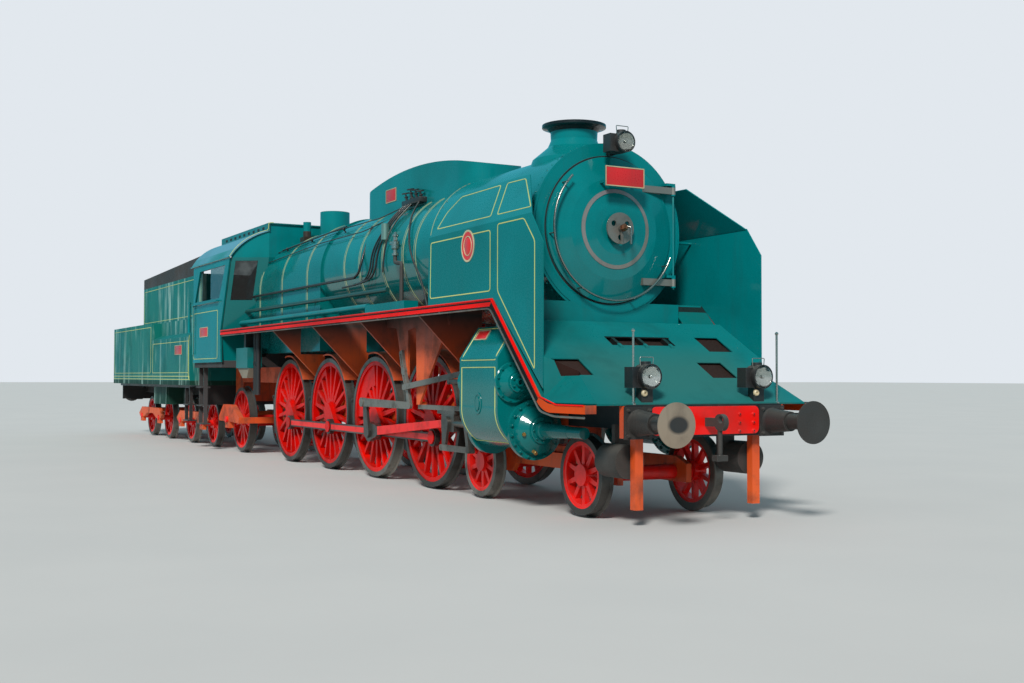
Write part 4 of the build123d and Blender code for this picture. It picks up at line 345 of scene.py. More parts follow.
def finish(name, base, shade, metallic=0.0, rough=(0.25, 0.45), coat=0.0, grime=0.4, streaks=0.15, dust=0.3,
           edge=0.5, worn=BARE_STEEL, streak_colour=GRIME_BROWN, grime_colour=GRIME_BROWN,
           dust_colour=DUST_GREY, patch=1.6, streak_width=7.0, grain=60.0, bump=0.15, relief=0.0008,
           shine=0.5, zones=()):
    """A weathered material. Zones come from box_patch and round_patch and lie over the base colour."""
    material, tree, sockets = new_material(name)
    aged = use_group(tree, weather, {"Patch Scale": patch, "Grime": grime, "Streak Width": streak_width,
                                     "Streaks": streaks, "Dust": dust, "Grain Scale": grain})
    colour = blend_colour(tree, ramp(tree, aged["Mottle"], 0.35, 0.65), base, shade)
    roughness = ramp(tree, aged["Grain"], 0.3, 0.7, *rough)
    metal = metallic
    for group, values, turn, zone_colour, zone_metallic, zone_rough in zones:
        vector = own_place(tree)
        if turn is not None:
            turning = {"Vector": vector, "Location": turn[0], "Rotation": turn[1]}
            vector = add_node(tree, "ShaderNodeMapping", turning, vector_type="TEXTURE").outputs["Vector"]
        mask = use_group(tree, group, {**values, "Vector": vector})["Mask"]
        colour = blend_colour(tree, mask, colour, zone_colour)
        roughness = blend_value(tree, mask, roughness, zone_rough)
        metal = blend_value(tree, mask, metal, zone_metallic)
    colour = blend_colour(tree, aged["Streaks"], colour, streak_colour)
    colour = blend_colour(tree, aged["Grime"], colour, grime_colour)
    colour = blend_colour(tree, aged["Dust"], colour, dust_colour)
    if edge > 0:
        colour = blend_colour(tree, use_group(tree, edge_wear, {"Amount": edge})["Edge"], colour, worn)
    roughness = maths(tree, "ADD", roughness, maths(tree, "MULTIPLY", aged["Grime"], 0.35), True)
    relief_values = {"Strength": bump, "Distance": relief, "Height": aged["Grain"]}
    normal = add_node(tree, "ShaderNodeBump", relief_values).outputs["Normal"]
    for title, value in (("Base Color", colour), ("Roughness", roughness), ("Metallic", metal),
                         ("Coat Weight", coat), ("Coat Roughness", 0.08), ("Specular IOR Level", shine),
                         ("Normal", normal)):
        feed(tree, sockets[title], value)
    return material


def box_patch(low, high, colour, metallic=0.0, rough=0.4, soft=0.002, turn=None):
    """A zone in a box between two corners. Turn is (place, angles) where the box lies aslant."""
    return box_zone, {"Low": low, "High": high, "Soft": soft}, turn, colour, metallic, rough


def round_patch(centre, radius, colour, metallic=0.0, rough=0.4, across=(1, 1, 1), soft=0.002):
    """A round zone. Across is 0 along the axis that its distance leaves out."""
    values = {"Centre": centre, "Radius": radius, "Across": across, "Soft": soft}
    return round_zone, values, None, colour, metallic, rough


print("finish builder ready")

# %% [markdown]
# The body colour is a blue-green enamel that the sun lifts towards turquoise, so its shade is a lighter
# blue-green. Red and orange are the running gear's colours, and black hides what gets oily anyway.

# %% Colours
TEAL = tint(0, 102, 101)
TEAL_LIGHT = tint(0, 118, 121)
TEAL_FADED = tint(6, 108, 98)
TEAL_PALE = tint(150, 186, 176)
TEAL_DULL = tint(40, 104, 100)
TEAL_DUST = tint(44, 116, 114)
TEAL_GRIME = tint(8, 50, 48)
VERMILION = tint(232, 12, 2)
RED_DEEP = tint(196, 6, 2)
RED_DUST = tint(130, 52, 34)
PLATE_RED = tint(205, 30, 30)
ORANGE = tint(206, 74, 22)
ORANGE_LIGHT = tint(222, 92, 34)
BLACK = tint(22, 22, 23)
# Soot black, also used as painted shade in the apron's middle slot.
BLACK_WORN_AND_SHADE = tint(44, 43, 42)
SOOT_AND_SHADE = tint(14, 13, 13)
LINING = tint(196, 204, 122)
STEEL = tint(136, 132, 124)
STEEL_PALE = tint(176, 172, 162)
STEEL_DARK = tint(72, 70, 67)
# Pale grey-blue of the cab roof: a painted sky reflection on dark roof paint.
ROOF_SKY_REFLECTION = tint(88, 138, 158)
CREAM = tint(206, 192, 156)
BRASS = tint(190, 150, 84)
COPPER = tint(196, 118, 84)
BUFFER_BROWN = tint(150, 134, 116)
TIMBER = tint(62, 60, 60)
print("colours named")

# %% Finishes of the loaded parts
NECK_LIP_HEIGHT = 4.60
CHIMNEY_PLACE = (9.356, 0.0, 4.5)
BOILER_AXIS = 3.298
STRAP_HALF = 0.043
ABOUT_X, ABOUT_Y, ABOUT_Z = (0, 1, 1), (1, 0, 1), (1, 1, 0)
ENAMEL = {"coat": 0.6, "shine": 0.1, "bump": 0.05, "worn": TEAL_DULL, "dust_colour": TEAL_DUST,
          "grime_colour": TEAL_GRIME}
DULLED = {**ENAMEL, "coat": 0.0, "shine": 0.2, "bump": 0.15}
WELL_KEPT = {**ENAMEL, "rough": (0.18, 0.32), "grime": 0.2, "dust": 0.1, "streaks": 0.06, "edge": 0.25}
WORN_STEEL = {"worn": STEEL_PALE, "patch": 4.0}
RED_PAINT = {"shine": 0.08, "dust_colour": RED_DUST, "streaks": 0.1, "edge": 0.3, "worn": ORANGE}
green = finish("green_enamel", TEAL, TEAL_LIGHT, rough=(0.2, 0.34), grime=0.18, streaks=0.08, dust=0.12,
               edge=0.35, **ENAMEL)
chimney_green = finish("green_chimney", TEAL, TEAL_LIGHT, **WELL_KEPT, zones=[
    box_patch((8.5, -1, NECK_LIP_HEIGHT), (10.5, 1, 5), BLACK, 0.0, 0.5),
    round_patch(CHIMNEY_PLACE, 0.245, SOOT_AND_SHADE, 0.0, 0.9, ABOUT_Z),
])
faded_green = finish("green_faded", TEAL_FADED, TEAL, rough=(0.35, 0.6), grime=0.3, streaks=0.85, dust=0.3,
                     edge=0.5, streak_colour=TEAL_PALE, streak_width=4.5, **DULLED, zones=[
    box_patch((-13, -2, 0.8), (-3, 2, 1.455), tint(18, 58, 46), 0.0, 0.6, 0.02),
])
apron_green = finish("green_apron", TEAL, TEAL_LIGHT, rough=(0.25, 0.42), grime=0.3, streaks=0.1, dust=0.3,
                     edge=0.4, **DULLED, zones=[
    box_patch((11.0, -1.05, 1.2), (12.1, 1.05, 1.9), TEAL_DULL, 0.0, 0.55, 0.5),
    # Black on the apron round the middle slot is painted shade inside the opening.
    box_patch((10.63, -0.436, 1.85), (10.89, 0.436, 2.0112), SOOT_AND_SHADE, 0.0, 0.8),
])
smokebox_green = finish("green_smokebox", TEAL, TEAL_LIGHT, **WELL_KEPT, zones=[
    round_patch((8.7, 0, BOILER_AXIS), 0.9925, SOOT_AND_SHADE, 0.0, 0.9, ABOUT_X),
])
ends_green = finish("green_smokebox_ends", TEAL, TEAL_LIGHT, **WELL_KEPT, zones=[
    box_patch((7.2, -2, 2), (7.3, 2, 5), SOOT_AND_SHADE, 0.0, 0.9),
    round_patch((10.14, 0, BOILER_AXIS), 0.803, SOOT_AND_SHADE, 0.0, 0.9, ABOUT_X),
])
door_green = finish("green_door", TEAL, TEAL_LIGHT, **WELL_KEPT, zones=[
    box_patch((10.16, 0.41, z - STRAP_HALF), (10.4, 0.93, z + STRAP_HALF), STEEL, 0.6, 0.5)
    for z in (BOILER_AXIS - 0.6, BOILER_AXIS + 0.52)
])
red = finish("red_wheels", VERMILION, RED_DEEP, rough=(0.28, 0.5), shine=0.1, coat=0.1, grime=0.55,
             streaks=0.0, dust=0.15, dust_colour=RED_DUST, edge=0.4, worn=STEEL_DARK, patch=3.0)


def carrying_red(name, height, seat_radius, places):
    """Red spoked centres inside steel tyres, on axles at these places."""
    seats = [round_patch((x, 0, height), seat_radius, VERMILION, across=ABOUT_Y) for x in places]
    return finish(name, STEEL_DARK, STEEL, metallic=0.6, rough=(0.35, 0.55), grime=0.5, dust=0.1, edge=0.4,
                  **WORN_STEEL, zones=seats)


leading_red = carrying_red("red_leading_wheels", 0.468, 0.37, (10.8345, 8.4095))
trailing_red = carrying_red("red_trailing_wheels", 0.678, 0.58, (-2.236,))
tender_red = carrying_red("red_tender_wheels", 0.528, 0.43, (-4.4, -6.3, -8.5, -10.4))
red_strip = finish("red_board_edge", VERMILION, RED_DEEP, rough=(0.25, 0.4), grime=0.15, dust=0.1,
                   **RED_PAINT)
board_paint = finish("board_paint", VERMILION, RED_DEEP, rough=(0.3, 0.5), grime=0.25, dust=0.2,
                     **{**RED_PAINT, "dust_colour": TEAL_DUST}, zones=[
    box_patch((11.0, -2, 1.0), (12.1, 2, 1.6), ORANGE, 0.0, 0.5, 0.15),
    box_patch((-2, -1.4865, 1.0), (12.1, 1.4865, 2.6), TEAL),
    # Black under the running board along its length is painted shade.
    box_patch((-2, -1.4865, 2.0), (10.1, 1.4865, 2.44), BLACK, 0.0, 0.6),
    box_patch((10.3, -1.4865, 1.0), (12.1, 1.4865, 1.262), BLACK, 0.0, 0.6),
    # The thin black band between the red edge strips, and its twin turned onto the slope, is the painted
    # shade of a groove.
    box_patch((-2, -2, 2.405), (9.98, 2, 2.424), BLACK, 0.0, 0.6),
    box_patch((0.02, -2, -0.12), (1.55, 2, -0.044), BLACK, 0.0, 0.6,
              turn=((10.01, 0, 2.448), (0, radians(45), 0))),
])
orange = finish("orange_frames", ORANGE, ORANGE_LIGHT, rough=(0.4, 0.65), grime=0.75, streaks=0.3, dust=0.2,
                edge=0.4, patch=2.4, zones=[
    box_patch((10.2, -0.62, 0.95), (11.76, 0.62, 1.3), BLACK, 0.0, 0.6),
    # The dark band over the upper frames, under the running board, is painted shade.
    box_patch((-1.5, -1.6, 2.12), (10.2, 1.6, 2.6), BLACK_WORN_AND_SHADE, 0.0, 0.6, 0.5),
])
black = finish("black_enamel", BLACK, BLACK_WORN_AND_SHADE, rough=(0.35, 0.6), coat=0.1, grime=0.5, streaks=0.1,
               dust=0.35, edge=0.5)
# Soot black serves real soot, and the painted shade of the door's gap and of the roof openings.
soot_and_shade = finish("soot_and_shade_black", SOOT_AND_SHADE, BLACK, rough=(0.6, 0.85), grime=0.5, dust=0.4, edge=0.2)
tyre = finish("tyre_steel", STEEL, STEEL_DARK, metallic=0.75, rough=(0.3, 0.55), grime=0.6, dust=0.1,
              edge=0.5, **WORN_STEEL)
gear = finish("valve_gear_steel", STEEL_DARK, STEEL, metallic=0.6, rough=(0.35, 0.55), grime=0.6, dust=0.15,
              edge=0.6, worn=STEEL_PALE, patch=5.0)
bright = finish("bright_steel", STEEL_PALE, STEEL, metallic=0.9, rough=(0.2, 0.3), grime=0.1, dust=0.0,
                edge=0.0, bump=0.02)
cast = finish("cast_iron", STEEL_DARK, BLACK_WORN_AND_SHADE, metallic=0.35, rough=(0.55, 0.8), grime=0.6, dust=0.3,
              edge=0.6, bump=0.4, relief=0.002, grain=140.0)
# The roof's pale grey-blue is a painted sky reflection on its arched surfaces; the ventilator zone is green
# paint.
roof = finish("roof_paint_and_sky_reflection", ROOF_SKY_REFLECTION, TEAL_FADED, rough=(0.25, 0.45), coat=0.3, grime=0.2, streaks=0.1,
              dust=0.2, edge=0.3, zones=[
    box_patch((-4, -0.88, 4.25), (0, 0.88, 5), TEAL, 0.0, 0.35, 0.01),
    box_patch((-4, -2, 4.0), (-0.35, 2, 4.322), ROOF_SKY_REFLECTION, 0.0, 0.35, 0.01),
])
timber = finish("bunker_timber", TIMBER, BLACK_WORN_AND_SHADE, rough=(0.6, 0.85), grime=0.5, streaks=0.3, dust=0.4,
                edge=0.4, worn=tint(110, 100, 90), bump=0.5, relief=0.003, grain=25.0)
floor_timber = finish("cab_floor", TIMBER, BLACK_WORN_AND_SHADE, rough=(0.6, 0.85), grime=0.6, dust=0.5, edge=0.3)
print("finishes:", len(bpy.data.materials))

# %% More finishes with zones
BUFFER_IRON = {"metallic": 0.2, "rough": (0.45, 0.7), "grime": 0.5, "dust": 0.2, "edge": 0.6}
buffers = finish("buffer_iron", BLACK_WORN_AND_SHADE, STEEL_DARK, **BUFFER_IRON, zones=[
    box_patch((12.62, -1.2, 0.7), (12.8, -0.5, 1.4), BUFFER_BROWN, 0.35, 0.5),
    round_patch((12.7, -0.862, 1.085), 0.085, BLACK_WORN_AND_SHADE, 0.1, 0.3, (0, 0.72, 1), 0.03),
])
tender_buffers = finish("tender_buffer_iron", BLACK_WORN_AND_SHADE, STEEL_DARK, **BUFFER_IRON)
beam = finish("beam_paint", BLACK, BLACK_WORN_AND_SHADE, rough=(0.35, 0.6), grime=0.35, dust=0.3, edge=0.5, zones=[
    box_patch((12.0115, -0.71, 0.9), (12.05, 0.71, 1.3), VERMILION, 0.0, 0.3),
    box_patch((11.9, -1.06, 0.9), (12.05, -1.028, 1.3), ORANGE, 0.0, 0.5),
    box_patch((11.9, 1.028, 0.9), (12.05, 1.06, 1.3), ORANGE, 0.0, 0.5),
])
AXLE_Z = 0.943
DRIVER_PLACES = (6.9, 4.875, 2.85, 0.825)
CRANK_RADIUS = 0.34
PIN_ANGLES = {"right": radians(-40), "left": radians(-130)}
EYE_REACH = 0.13
ROD_BAR_HALF = 0.04
MAIN_ROD_LENGTH = 2.7


def parked_pin(x, word):
    """Place (x, z) of a crank pin in the parked pose, on the axle at x."""
    return x + CRANK_RADIUS * cos(PIN_ANGLES[word]), AXLE_Z + CRANK_RADIUS * sin(PIN_ANGLES[word])


def side_rod_zones(word):
    """Red bars between the steel eyes of a side rod."""
    pins = [parked_pin(x, word) for x in DRIVER_PLACES]
    return [box_patch((after + EYE_REACH, -2, z - ROD_BAR_HALF), (before - EYE_REACH, 2, z + ROD_BAR_HALF),
                      VERMILION) for (before, z), (after, _) in zip(pins, pins[1:])]


def main_rod_zone(word, low_y, high_y):
    """Red bar of a connecting rod, in a box turned along the rod."""
    pin_x, pin_z = parked_pin(DRIVER_PLACES[1], word)
    rise = asin((AXLE_Z - pin_z) / MAIN_ROD_LENGTH)
    return box_patch((0.34, low_y, -0.07), (2.55, high_y, 0.07), VERMILION,
                     turn=((pin_x, 0, pin_z), (0, -rise, 0)))


rods = {word: finish("side_rod_" + word + "_steel", STEEL, STEEL_DARK, metallic=0.7, rough=(0.3, 0.5),
                     grime=0.5, dust=0.1, edge=0.5, **WORN_STEEL, zones=side_rod_zones(word))
        for word in PIN_ANGLES}
rod_finish = finish("main_rod_steel", STEEL, STEEL_DARK, metallic=0.75, rough=(0.25, 0.45), grime=0.4,
                    dust=0.1, edge=0.5, **WORN_STEEL, zones=[
    main_rod_zone("right", -1.027, -0.9),
    main_rod_zone("left", 0.9, 1.027),
])
mountings = finish("mountings_paint", TEAL, TEAL_LIGHT, rough=(0.2, 0.36), grime=0.25, dust=0.15, edge=0.3,
                   **ENAMEL, zones=[
    box_patch((5.2, -1.2, 3.4), (5.7, 1.2, 4.0), tint(120, 150, 140), 0.6, 0.35),
    box_patch((-0.25, -0.5, 4.05), (0.05, 0.5, 4.33), tint(62, 50, 42), 0.3, 0.5),
])
pipe_paint = finish("pipe_paint", BLACK, BLACK_WORN_AND_SHADE, rough=(0.35, 0.55), grime=0.3, dust=0.2, edge=0.4,
                    zones=[
    box_patch((-2, -1.21, 2.52), (6, 1.21, 2.65), TEAL_LIGHT, 0.0, 0.35),
    box_patch((-2, -1.21, 2.76), (6.2, 1.21, 2.86), tint(10, 66, 62)),
])
injector_paint = finish("injector_paint", BLACK, BLACK_WORN_AND_SHADE, rough=(0.4, 0.6), grime=0.4, dust=0.3, edge=0.4,
                        zones=[
    box_patch((-0.86, -1.4, 1.70), (-0.098, 1.4, 2.10), TEAL, 0.0, 0.35),
    box_patch((-0.86, -1.4, 1.40), (-0.098, 1.4, 1.70), tint(128, 120, 104), 0.0, 0.6),
])
side_green = finish("green_cab", TEAL, TEAL_LIGHT, rough=(0.22, 0.38), grime=0.2, streaks=0.12, dust=0.15,
                    edge=0.35, **ENAMEL, zones=[
    # The inside faces of the cab sides are darkened as painted shade.
    box_patch((-3.6, -1.4705, 1.0), (-0.7, 1.4705, 4.5), tint(34, 44, 40), 0.0, 0.6),
])
print("finishes:", len(bpy.data.materials))

# %% [markdown]
# ## Glass and lamp lenses
# Glass has full transmission, almost no roughness and, in the windows, a grey-green tone. Smears change its
# roughness and grime films its colour, but what lies behind stays visible. The cab's front panes are darker,
# as painted shade from the dark space behind them.

# %% Glass and lenses
FRONT_PANES = {"Low": (-1.4, -1.42, 2.6), "High": (-0.2, 1.42, 4.0)}
GLASS_FILM = tint(150, 158, 154)


def clear_glass(name, colour, rough=0.03, front_shade=None):
    """Clear glass, darkened as painted shade within the cab's front panes if a front shade is given."""
    material, tree, sockets = new_material(name)
    aged = use_group(tree, weather, {"Patch Scale": 3.0, "Grime": 0.3, "Dust": 0.1})
    if front_shade is not None:
        mask = use_group(tree, box_zone, {**FRONT_PANES, "Vector": own_place(tree)})["Mask"]
        colour = blend_colour(tree, mask, colour, front_shade)
    smear = ramp(tree, aged["Mottle"], 0.3, 0.7, rough, rough + 0.06)
    for title, value in (("Base Color", blend_colour(tree, aged["Grime"], colour, GLASS_FILM)),
                         ("Roughness", smear), ("Transmission Weight", 1.0), ("IOR", 1.45)):
        feed(tree, sockets[title], value)
    return material


# The darker front panes are painted shade.
window_glass = clear_glass("window_glass", tint(112, 126, 126), front_shade=tint(52, 58, 58))
lens_glass = clear_glass("lens_glass", tint(236, 240, 238), 0.01)
print("glass ready")

# %% Give every loaded part its finish
PARTS_IN = (
    # finish, parts
    (orange, "main_frames leading_bogie trailing_truck tender_bogie_1 tender_bogie_2"),
    (beam, "front_beam"),
    (buffers, "front_buffers"),
    (tender_buffers, "tender_buffers"),
    (cast, "front_coupling brake_gear air_tanks"),
    (apron_green, "front_apron"),
    (smokebox_green, "smokebox_shell"),
    (ends_green, "smokebox_ends"),
    (soot_and_shade, "blast_pipe"),
    (chimney_green, "chimney"),
    (green, "smokebox_saddle boiler_barrel firebox dome_casing cylinders smoke_deflectors cab_front"),
    (mountings, "boiler_mountings"),
    (gear, "slide_bars valve_gear door_wheel"),
    (rod_finish, "main_rods"),
    (rods["right"], "side_rod_right"),
    (rods["left"], "side_rod_left"),
    (side_green, "cab_sides"),
    (floor_timber, "cab_floor"),
    (roof, "cab_roof"),
    (window_glass, "cab_glass"),
    (soot_and_shade, "ashpan"),
    (injector_paint, "injectors"),
    (pipe_paint, "boiler_pipes"),
    (black, "headlamps tender_frame"),
    (door_green, "smokebox_door"),
    (faded_green, "tender_tank filler_lid"),
    (timber, "bunker_boards"),
    (board_paint, "running_boards"),
    (red, "driver_1_centres driver_2_centres driver_3_centres driver_4_centres"),
    (leading_red, "leading_wheels_1 leading_wheels_2"),
    (trailing_red, "trailing_wheels"),
    (tender_red, "tender_wheels_1 tender_wheels_2 tender_wheels_3 tender_wheels_4"),
    (tyre, "driver_1_tyres driver_2_tyres driver_3_tyres driver_4_tyres"),
)
for material, names in PARTS_IN:
    for name in names.split():
        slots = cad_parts[name].data.materials
        slots.clear()
        slots.append(material)
dressed = sum(len(names.split()) for _, names in PARTS_IN)
print("parts with a finish:", dressed, "of", len(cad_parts))

# %% [markdown]
# ## Shaping tools
# Turned pieces start as a circle whose points are moved onto a half section and spun about the axis. Flat
# frames start as a filled outline that is inset and emptied. Pipes are smooth curves made mesh. What repeats,
# such as a rivet, is modelled once and copied to a list of spots.

# %% Turned pieces
def outline_from(points, name, filled=False):
    """A circle primitive whose points are moved onto an outline."""
    deselect()
    fill = "NGON" if filled else "NOTHING"
    bpy.ops.mesh.primitive_circle_add(vertices=len(points), radius=1.0, fill_type=fill)
    piece = bpy.context.active_object
    piece.name = name
    for vertex, point in zip(piece.data.vertices, points):
        vertex.co = point
    piece.data.update()
    return piece


def turned(name, profile, steps=40):
    """A piece spun about the X axis from (x, radius) points of a closed half section."""
    piece = outline_from([(x, 0.0, radius) for x, radius in profile], name)
    edit(piece)
    bpy.ops.mesh.spin(steps=steps, angle=2 * pi, center=(0, 0, 0), axis=(1, 0, 0))
    bpy.ops.mesh.select_all(action="SELECT")
    bpy.ops.mesh.remove_doubles(threshold=0.0001)
    bpy.ops.mesh.dissolve_degenerate()
    leave()
    mend(piece)
    smooth(piece)
    return piece


def rotation_between(start, direction):
    """The rotation that takes one direction to another."""
    return Vector(start).rotation_difference(Vector(direction)).to_matrix().to_4x4()


def aimed(piece, place, direction=(1, 0, 0)):
    """Turns a piece from the X axis to a direction, moves it and settles it."""
    piece.matrix_world = Matrix.Translation(place) @ rotation_between((1, 0, 0), direction)
    return settle(piece)


def duplicate(piece):
    """A copy of a piece with its own mesh."""
    other = piece.copy()
    other.data = piece.data.copy()
    bpy.context.scene.collection.objects.link(other)
    return other


def twin(piece):
    """Joins a piece on the engine's right with its mirror image on the left."""
    other = duplicate(piece)
    other.data.transform(Matrix.Scale(-1, 4, (0, 1, 0)))
    edit(other)
    bpy.ops.mesh.flip_normals()
    leave()
    return join([piece, other], piece.name)


def copies(piece, spots, name):
    """Copies of a piece that points up, one at each spot of (place, direction), joined into one."""
    placed = []
    for place, direction in spots:
        other = duplicate(piece)
        other.matrix_world = Matrix.Translation(place) @ rotation_between((0, 0, 1), direction)
        placed.append(other)
    bpy.data.objects.remove(piece)
    return join(placed, name)


print("turning tools ready")

# %% Pipes, rods, frames and hoops
def tube(name, points, radius, fine=3):
    """A round bar or pipe along a smooth route, made mesh."""
    line = bpy.data.curves.new(name, "CURVE")
    line.dimensions = "3D"
    spline = line.splines.new("NURBS" if len(points) > 2 else "POLY")
    spline.points.add(len(points) - 1)
    for point, place in zip(spline.points, points):
        point.co = (*place, 1.0)
    if len(points) > 2:
        spline.order_u = 3
        spline.use_endpoint_u = True
    spline.resolution_u = 5
    line.bevel_depth = radius
    line.bevel_resolution = fine
    line.use_fill_caps = True
    piece = bpy.data.objects.new(name, line)
    bpy.context.scene.collection.objects.link(piece)
    only(piece)
    bpy.ops.object.convert(target="MESH")
    piece = bpy.context.active_object
    mend(piece, 0.00005)
    smooth(piece, 50)
    return piece


def bent(points, bend):
    """Route points with one more on each side of every corner, so that its bends are short."""
    def towards(corner, other):
        run = Vector(other) - corner
        return corner + run.normalized() * min(bend, run.length * 0.45)

    route = [Vector(points[0])]
    for before, corner, after in zip(points, points[1:], points[2:]):
        corner = Vector(corner)
        route += [towards(corner, before), corner, towards(corner, after)]
    return route + [Vector(points[-1])]


def line_frame(name, corners, width=0.012, rounding=0.04, proud=0.003):
    """A thin closed line along a flat outline: filled, its corners rounded, inset, emptied and thickened."""
    piece = outline_from(corners, name, filled=True)
    edit(piece)
    if rounding > 0:
        bpy.ops.mesh.bevel(offset=rounding, segments=3, affect="VERTICES")
    bpy.ops.mesh.select_mode(type="FACE")
    bpy.ops.mesh.select_all(action="SELECT")
    bpy.ops.mesh.inset(thickness=width, use_even_offset=True)
    bpy.ops.mesh.delete(type="FACE")
    leave()
    thicken(piece, 2 * proud)
    return piece


def thicken(piece, thickness):
    """Gives a sheet its thickness, half on each side."""
    wall = piece.modifiers.new("wall", "SOLIDIFY")
    wall.thickness = thickness
    wall.offset = 0.0
    wall.use_even_offset = True
    apply_modifiers(piece)


def soften(piece, width):
    """Rounds off the sharp edges of a piece."""
    edge = piece.modifiers.new("edge", "BEVEL")
    edge.width = width
    edge.segments = 2
    edge.limit_method = "ANGLE"
    edge.angle_limit = radians(30)
    apply_modifiers(piece)
    smooth(piece)


def hoop(name, section, x0, x1, proud, closed=True):
    """A band along X round a section of (y, z) points, standing a little proud."""
    piece = outline_from([(x0, y, z) for y, z in section], name)
    if not closed:
        edit(piece, "EDGE")
        bpy.ops.mesh.select_all(action="DESELECT")
        leave()
        last = len(section) - 1
        for edge in piece.data.edges:
            edge.select = set(edge.vertices) == {0, last}
        only(piece)
        bpy.ops.object.mode_set(mode="EDIT")
        bpy.ops.mesh.delete(type="EDGE")
        leave()
    edit(piece, "EDGE")
    extrude((x1 - x0, 0, 0))
    leave()
    thicken(piece, 2 * proud)
    mend(piece, 0.00001)
    smooth(piece)
    return piece


def slab(name, corners, depth, edge=0.004):
    """A flat plate from an outline, given a depth along its normal and softened edges."""
    piece = outline_from(corners, name, filled=True)
    thicken(piece, depth)
    if edge > 0:
        soften(piece, edge)
    mend(piece, 0.00001)
    return piece


def box_piece(name, low, high, edge=0.006):
    """A bevelled block between two corners."""
    deselect()
    centre = [(a + b) / 2 for a, b in zip(low, high)]
    bpy.ops.mesh.primitive_cube_add(size=1.0, location=centre)
    piece = bpy.context.active_object
    piece.name = name
    piece.scale = [b - a for a, b in zip(low, high)]
    settle(piece)
    soften(piece, edge)
    return piece


print("shaping tools ready")

# %% Studs
BOLT_STEPS = ((0.2, 1.0), (0.0, 0.8), (0.8, 1.0), (0.0, 0.6), (0.4, 0.85))
WASHER_SPREAD = 1.25


def stud(corners, radius, height, steps):
    """A stud that points up, raised from an outline in steps of (share of height, width kept)."""
    deselect()
    bpy.ops.mesh.primitive_circle_add(vertices=corners, radius=radius, fill_type="NGON")
    piece = bpy.context.active_object
    edit(piece, "FACE")
    for rise, share in steps:
        extrude((0, 0, height * rise))
        bpy.ops.transform.resize(value=(share, share, 1))
    leave()
    mend(piece, 0.00001)
    return piece


def rivet():
    """A domed rivet head of a few dozen faces."""
    piece = stud(8, 0.014, 0.009, ((0.55, 0.82), (0.45, 0.45)))
    smooth(piece, 60)
    return piece


def bolt(radius, height):
    """A hexagon bolt head on a washer, with its end of thread."""
    return stud(6, radius * WASHER_SPREAD, height, BOLT_STEPS)


def spots_round(count, radius, x, radial=True, start=0.0, axis_y=0.0, axis_z=BOILER_AXIS):
    """Spots on a circle about a lengthwise axis, facing outwards or forwards."""
    spots = []
    for i in range(count):
        angle = radians(start + 360 * i / count)
        y, z = sin(angle), cos(angle)
        spots.append(((x, axis_y + radius * y, axis_z + radius * z), (0, y, z) if radial else (1, 0, 0)))
    return spots


def cover_spots(count, radius, x, axis, start=0.0):
    """Spots that face forwards, about an axis at (y, z) on the right and about the same one on the left."""
    return [spot for axis_y in (axis[0], -axis[0])
            for spot in spots_round(count, radius, x, False, start, axis_y, axis[1])]


print("studs ready")

# %% [markdown]
# ## Lining
# The paint shop draws pale yellow lines with a wheel pen, about a finger wide, a hand in from each panel's
# edge. A line here is a real strip a few millimetres proud, so that it stays crisp from any distance.

# %% Lining paint
lining_paint = finish("lining_yellow", LINING, tint(180, 186, 104), rough=(0.3, 0.45), grime=0.2, streaks=0.1,
                      dust=0.1, edge=0.0)
SIDE_FACE = -1.4877
LEAN = radians(34)
FOLD_Z = 3.308


def on_side(points, y):
    """Points (x, z) in the upright plane at y."""
    return [(x, y, z) for x, z in points]


def oblong(x0, x1, z0, z1, y):
    """Corners of an upright oblong at y."""
    return on_side([(x0, z0), (x1, z0), (x1, z1), (x0, z1)], y)


def on_lean(points):
    """Points (x, rise along the leaning panel) in space."""
    return [(x, SIDE_FACE + rise * sin(LEAN), FOLD_Z + rise * cos(LEAN)) for x, rise in points]


deflector_lines = [line_frame("line", corners) for corners in (
    on_side([(10.12, 3.29), (10.74, 3.29), (10.98, 3.02), (10.98, 1.62), (10.12, 2.52)], SIDE_FACE),
    on_side([(8.33, 3.24), (9.95, 3.24), (9.95, 2.53), (8.31, 2.53)], SIDE_FACE),
    on_lean([(8.36, 0.12), (8.34, 0.4), (8.5, 0.63), (9.55, 0.64), (9.83, 0.12)]),
    on_lean([(9.98, 0.12), (9.7, 0.64), (10.16, 0.63), (10.78, 0.12)]),
)]
deflector_lining = dress(twin(join(deflector_lines, "deflector_lining")), lining_paint)
print("deflector lining:", len(deflector_lining.data.polygons), "faces")

# %% Lining of the cab and tender sides
CAB_FACE = -1.5005
LEDGE_FACE = -1.5565
BUNKER_FACE = -1.2505
cab_lines = [
    line_frame("cab_lower", oblong(-3.44, -1.60, 2.86, 1.90, CAB_FACE)),
    line_frame("cab_ledge", oblong(-3.34, -1.52, 3.046, 3.02, LEDGE_FACE), 0.005, 0.0),
]
dress(twin(join(cab_lines, "cab_lining")), lining_paint)
tender_lines = [
    line_frame("tender_bottom", oblong(-11.97, -3.80, 1.556, 1.472, CAB_FACE), 0.016, 0.0),
    line_frame("tender_front", oblong(-7.3, -3.86, 2.31, 1.62, CAB_FACE)),
    line_frame("tender_rear", oblong(-11.9, -7.5, 2.72, 1.62, CAB_FACE)),
    line_frame("bunker", oblong(-9.4, -3.85, 3.67, 2.87, BUNKER_FACE)),
]
dress(twin(join(tender_lines, "tender_lining")), lining_paint, body="tender")
print("cab and tender lining made")

# %% Lining of the cylinders
CYLINDER_FACE = -1.4555
CYLINDER_ENDS = (9.16, 10.01)
SIDE_TOP = 1.66
LINE_RADIUS = 0.006
CHAMFER = ((CYLINDER_FACE, 1.745), (-1.428, 1.812), (-1.224, 2.122))
SHEET_ARC = ((-0.74, 0.788), (-1.11, 0.728), (CYLINDER_FACE + 0.0005, 1.208))


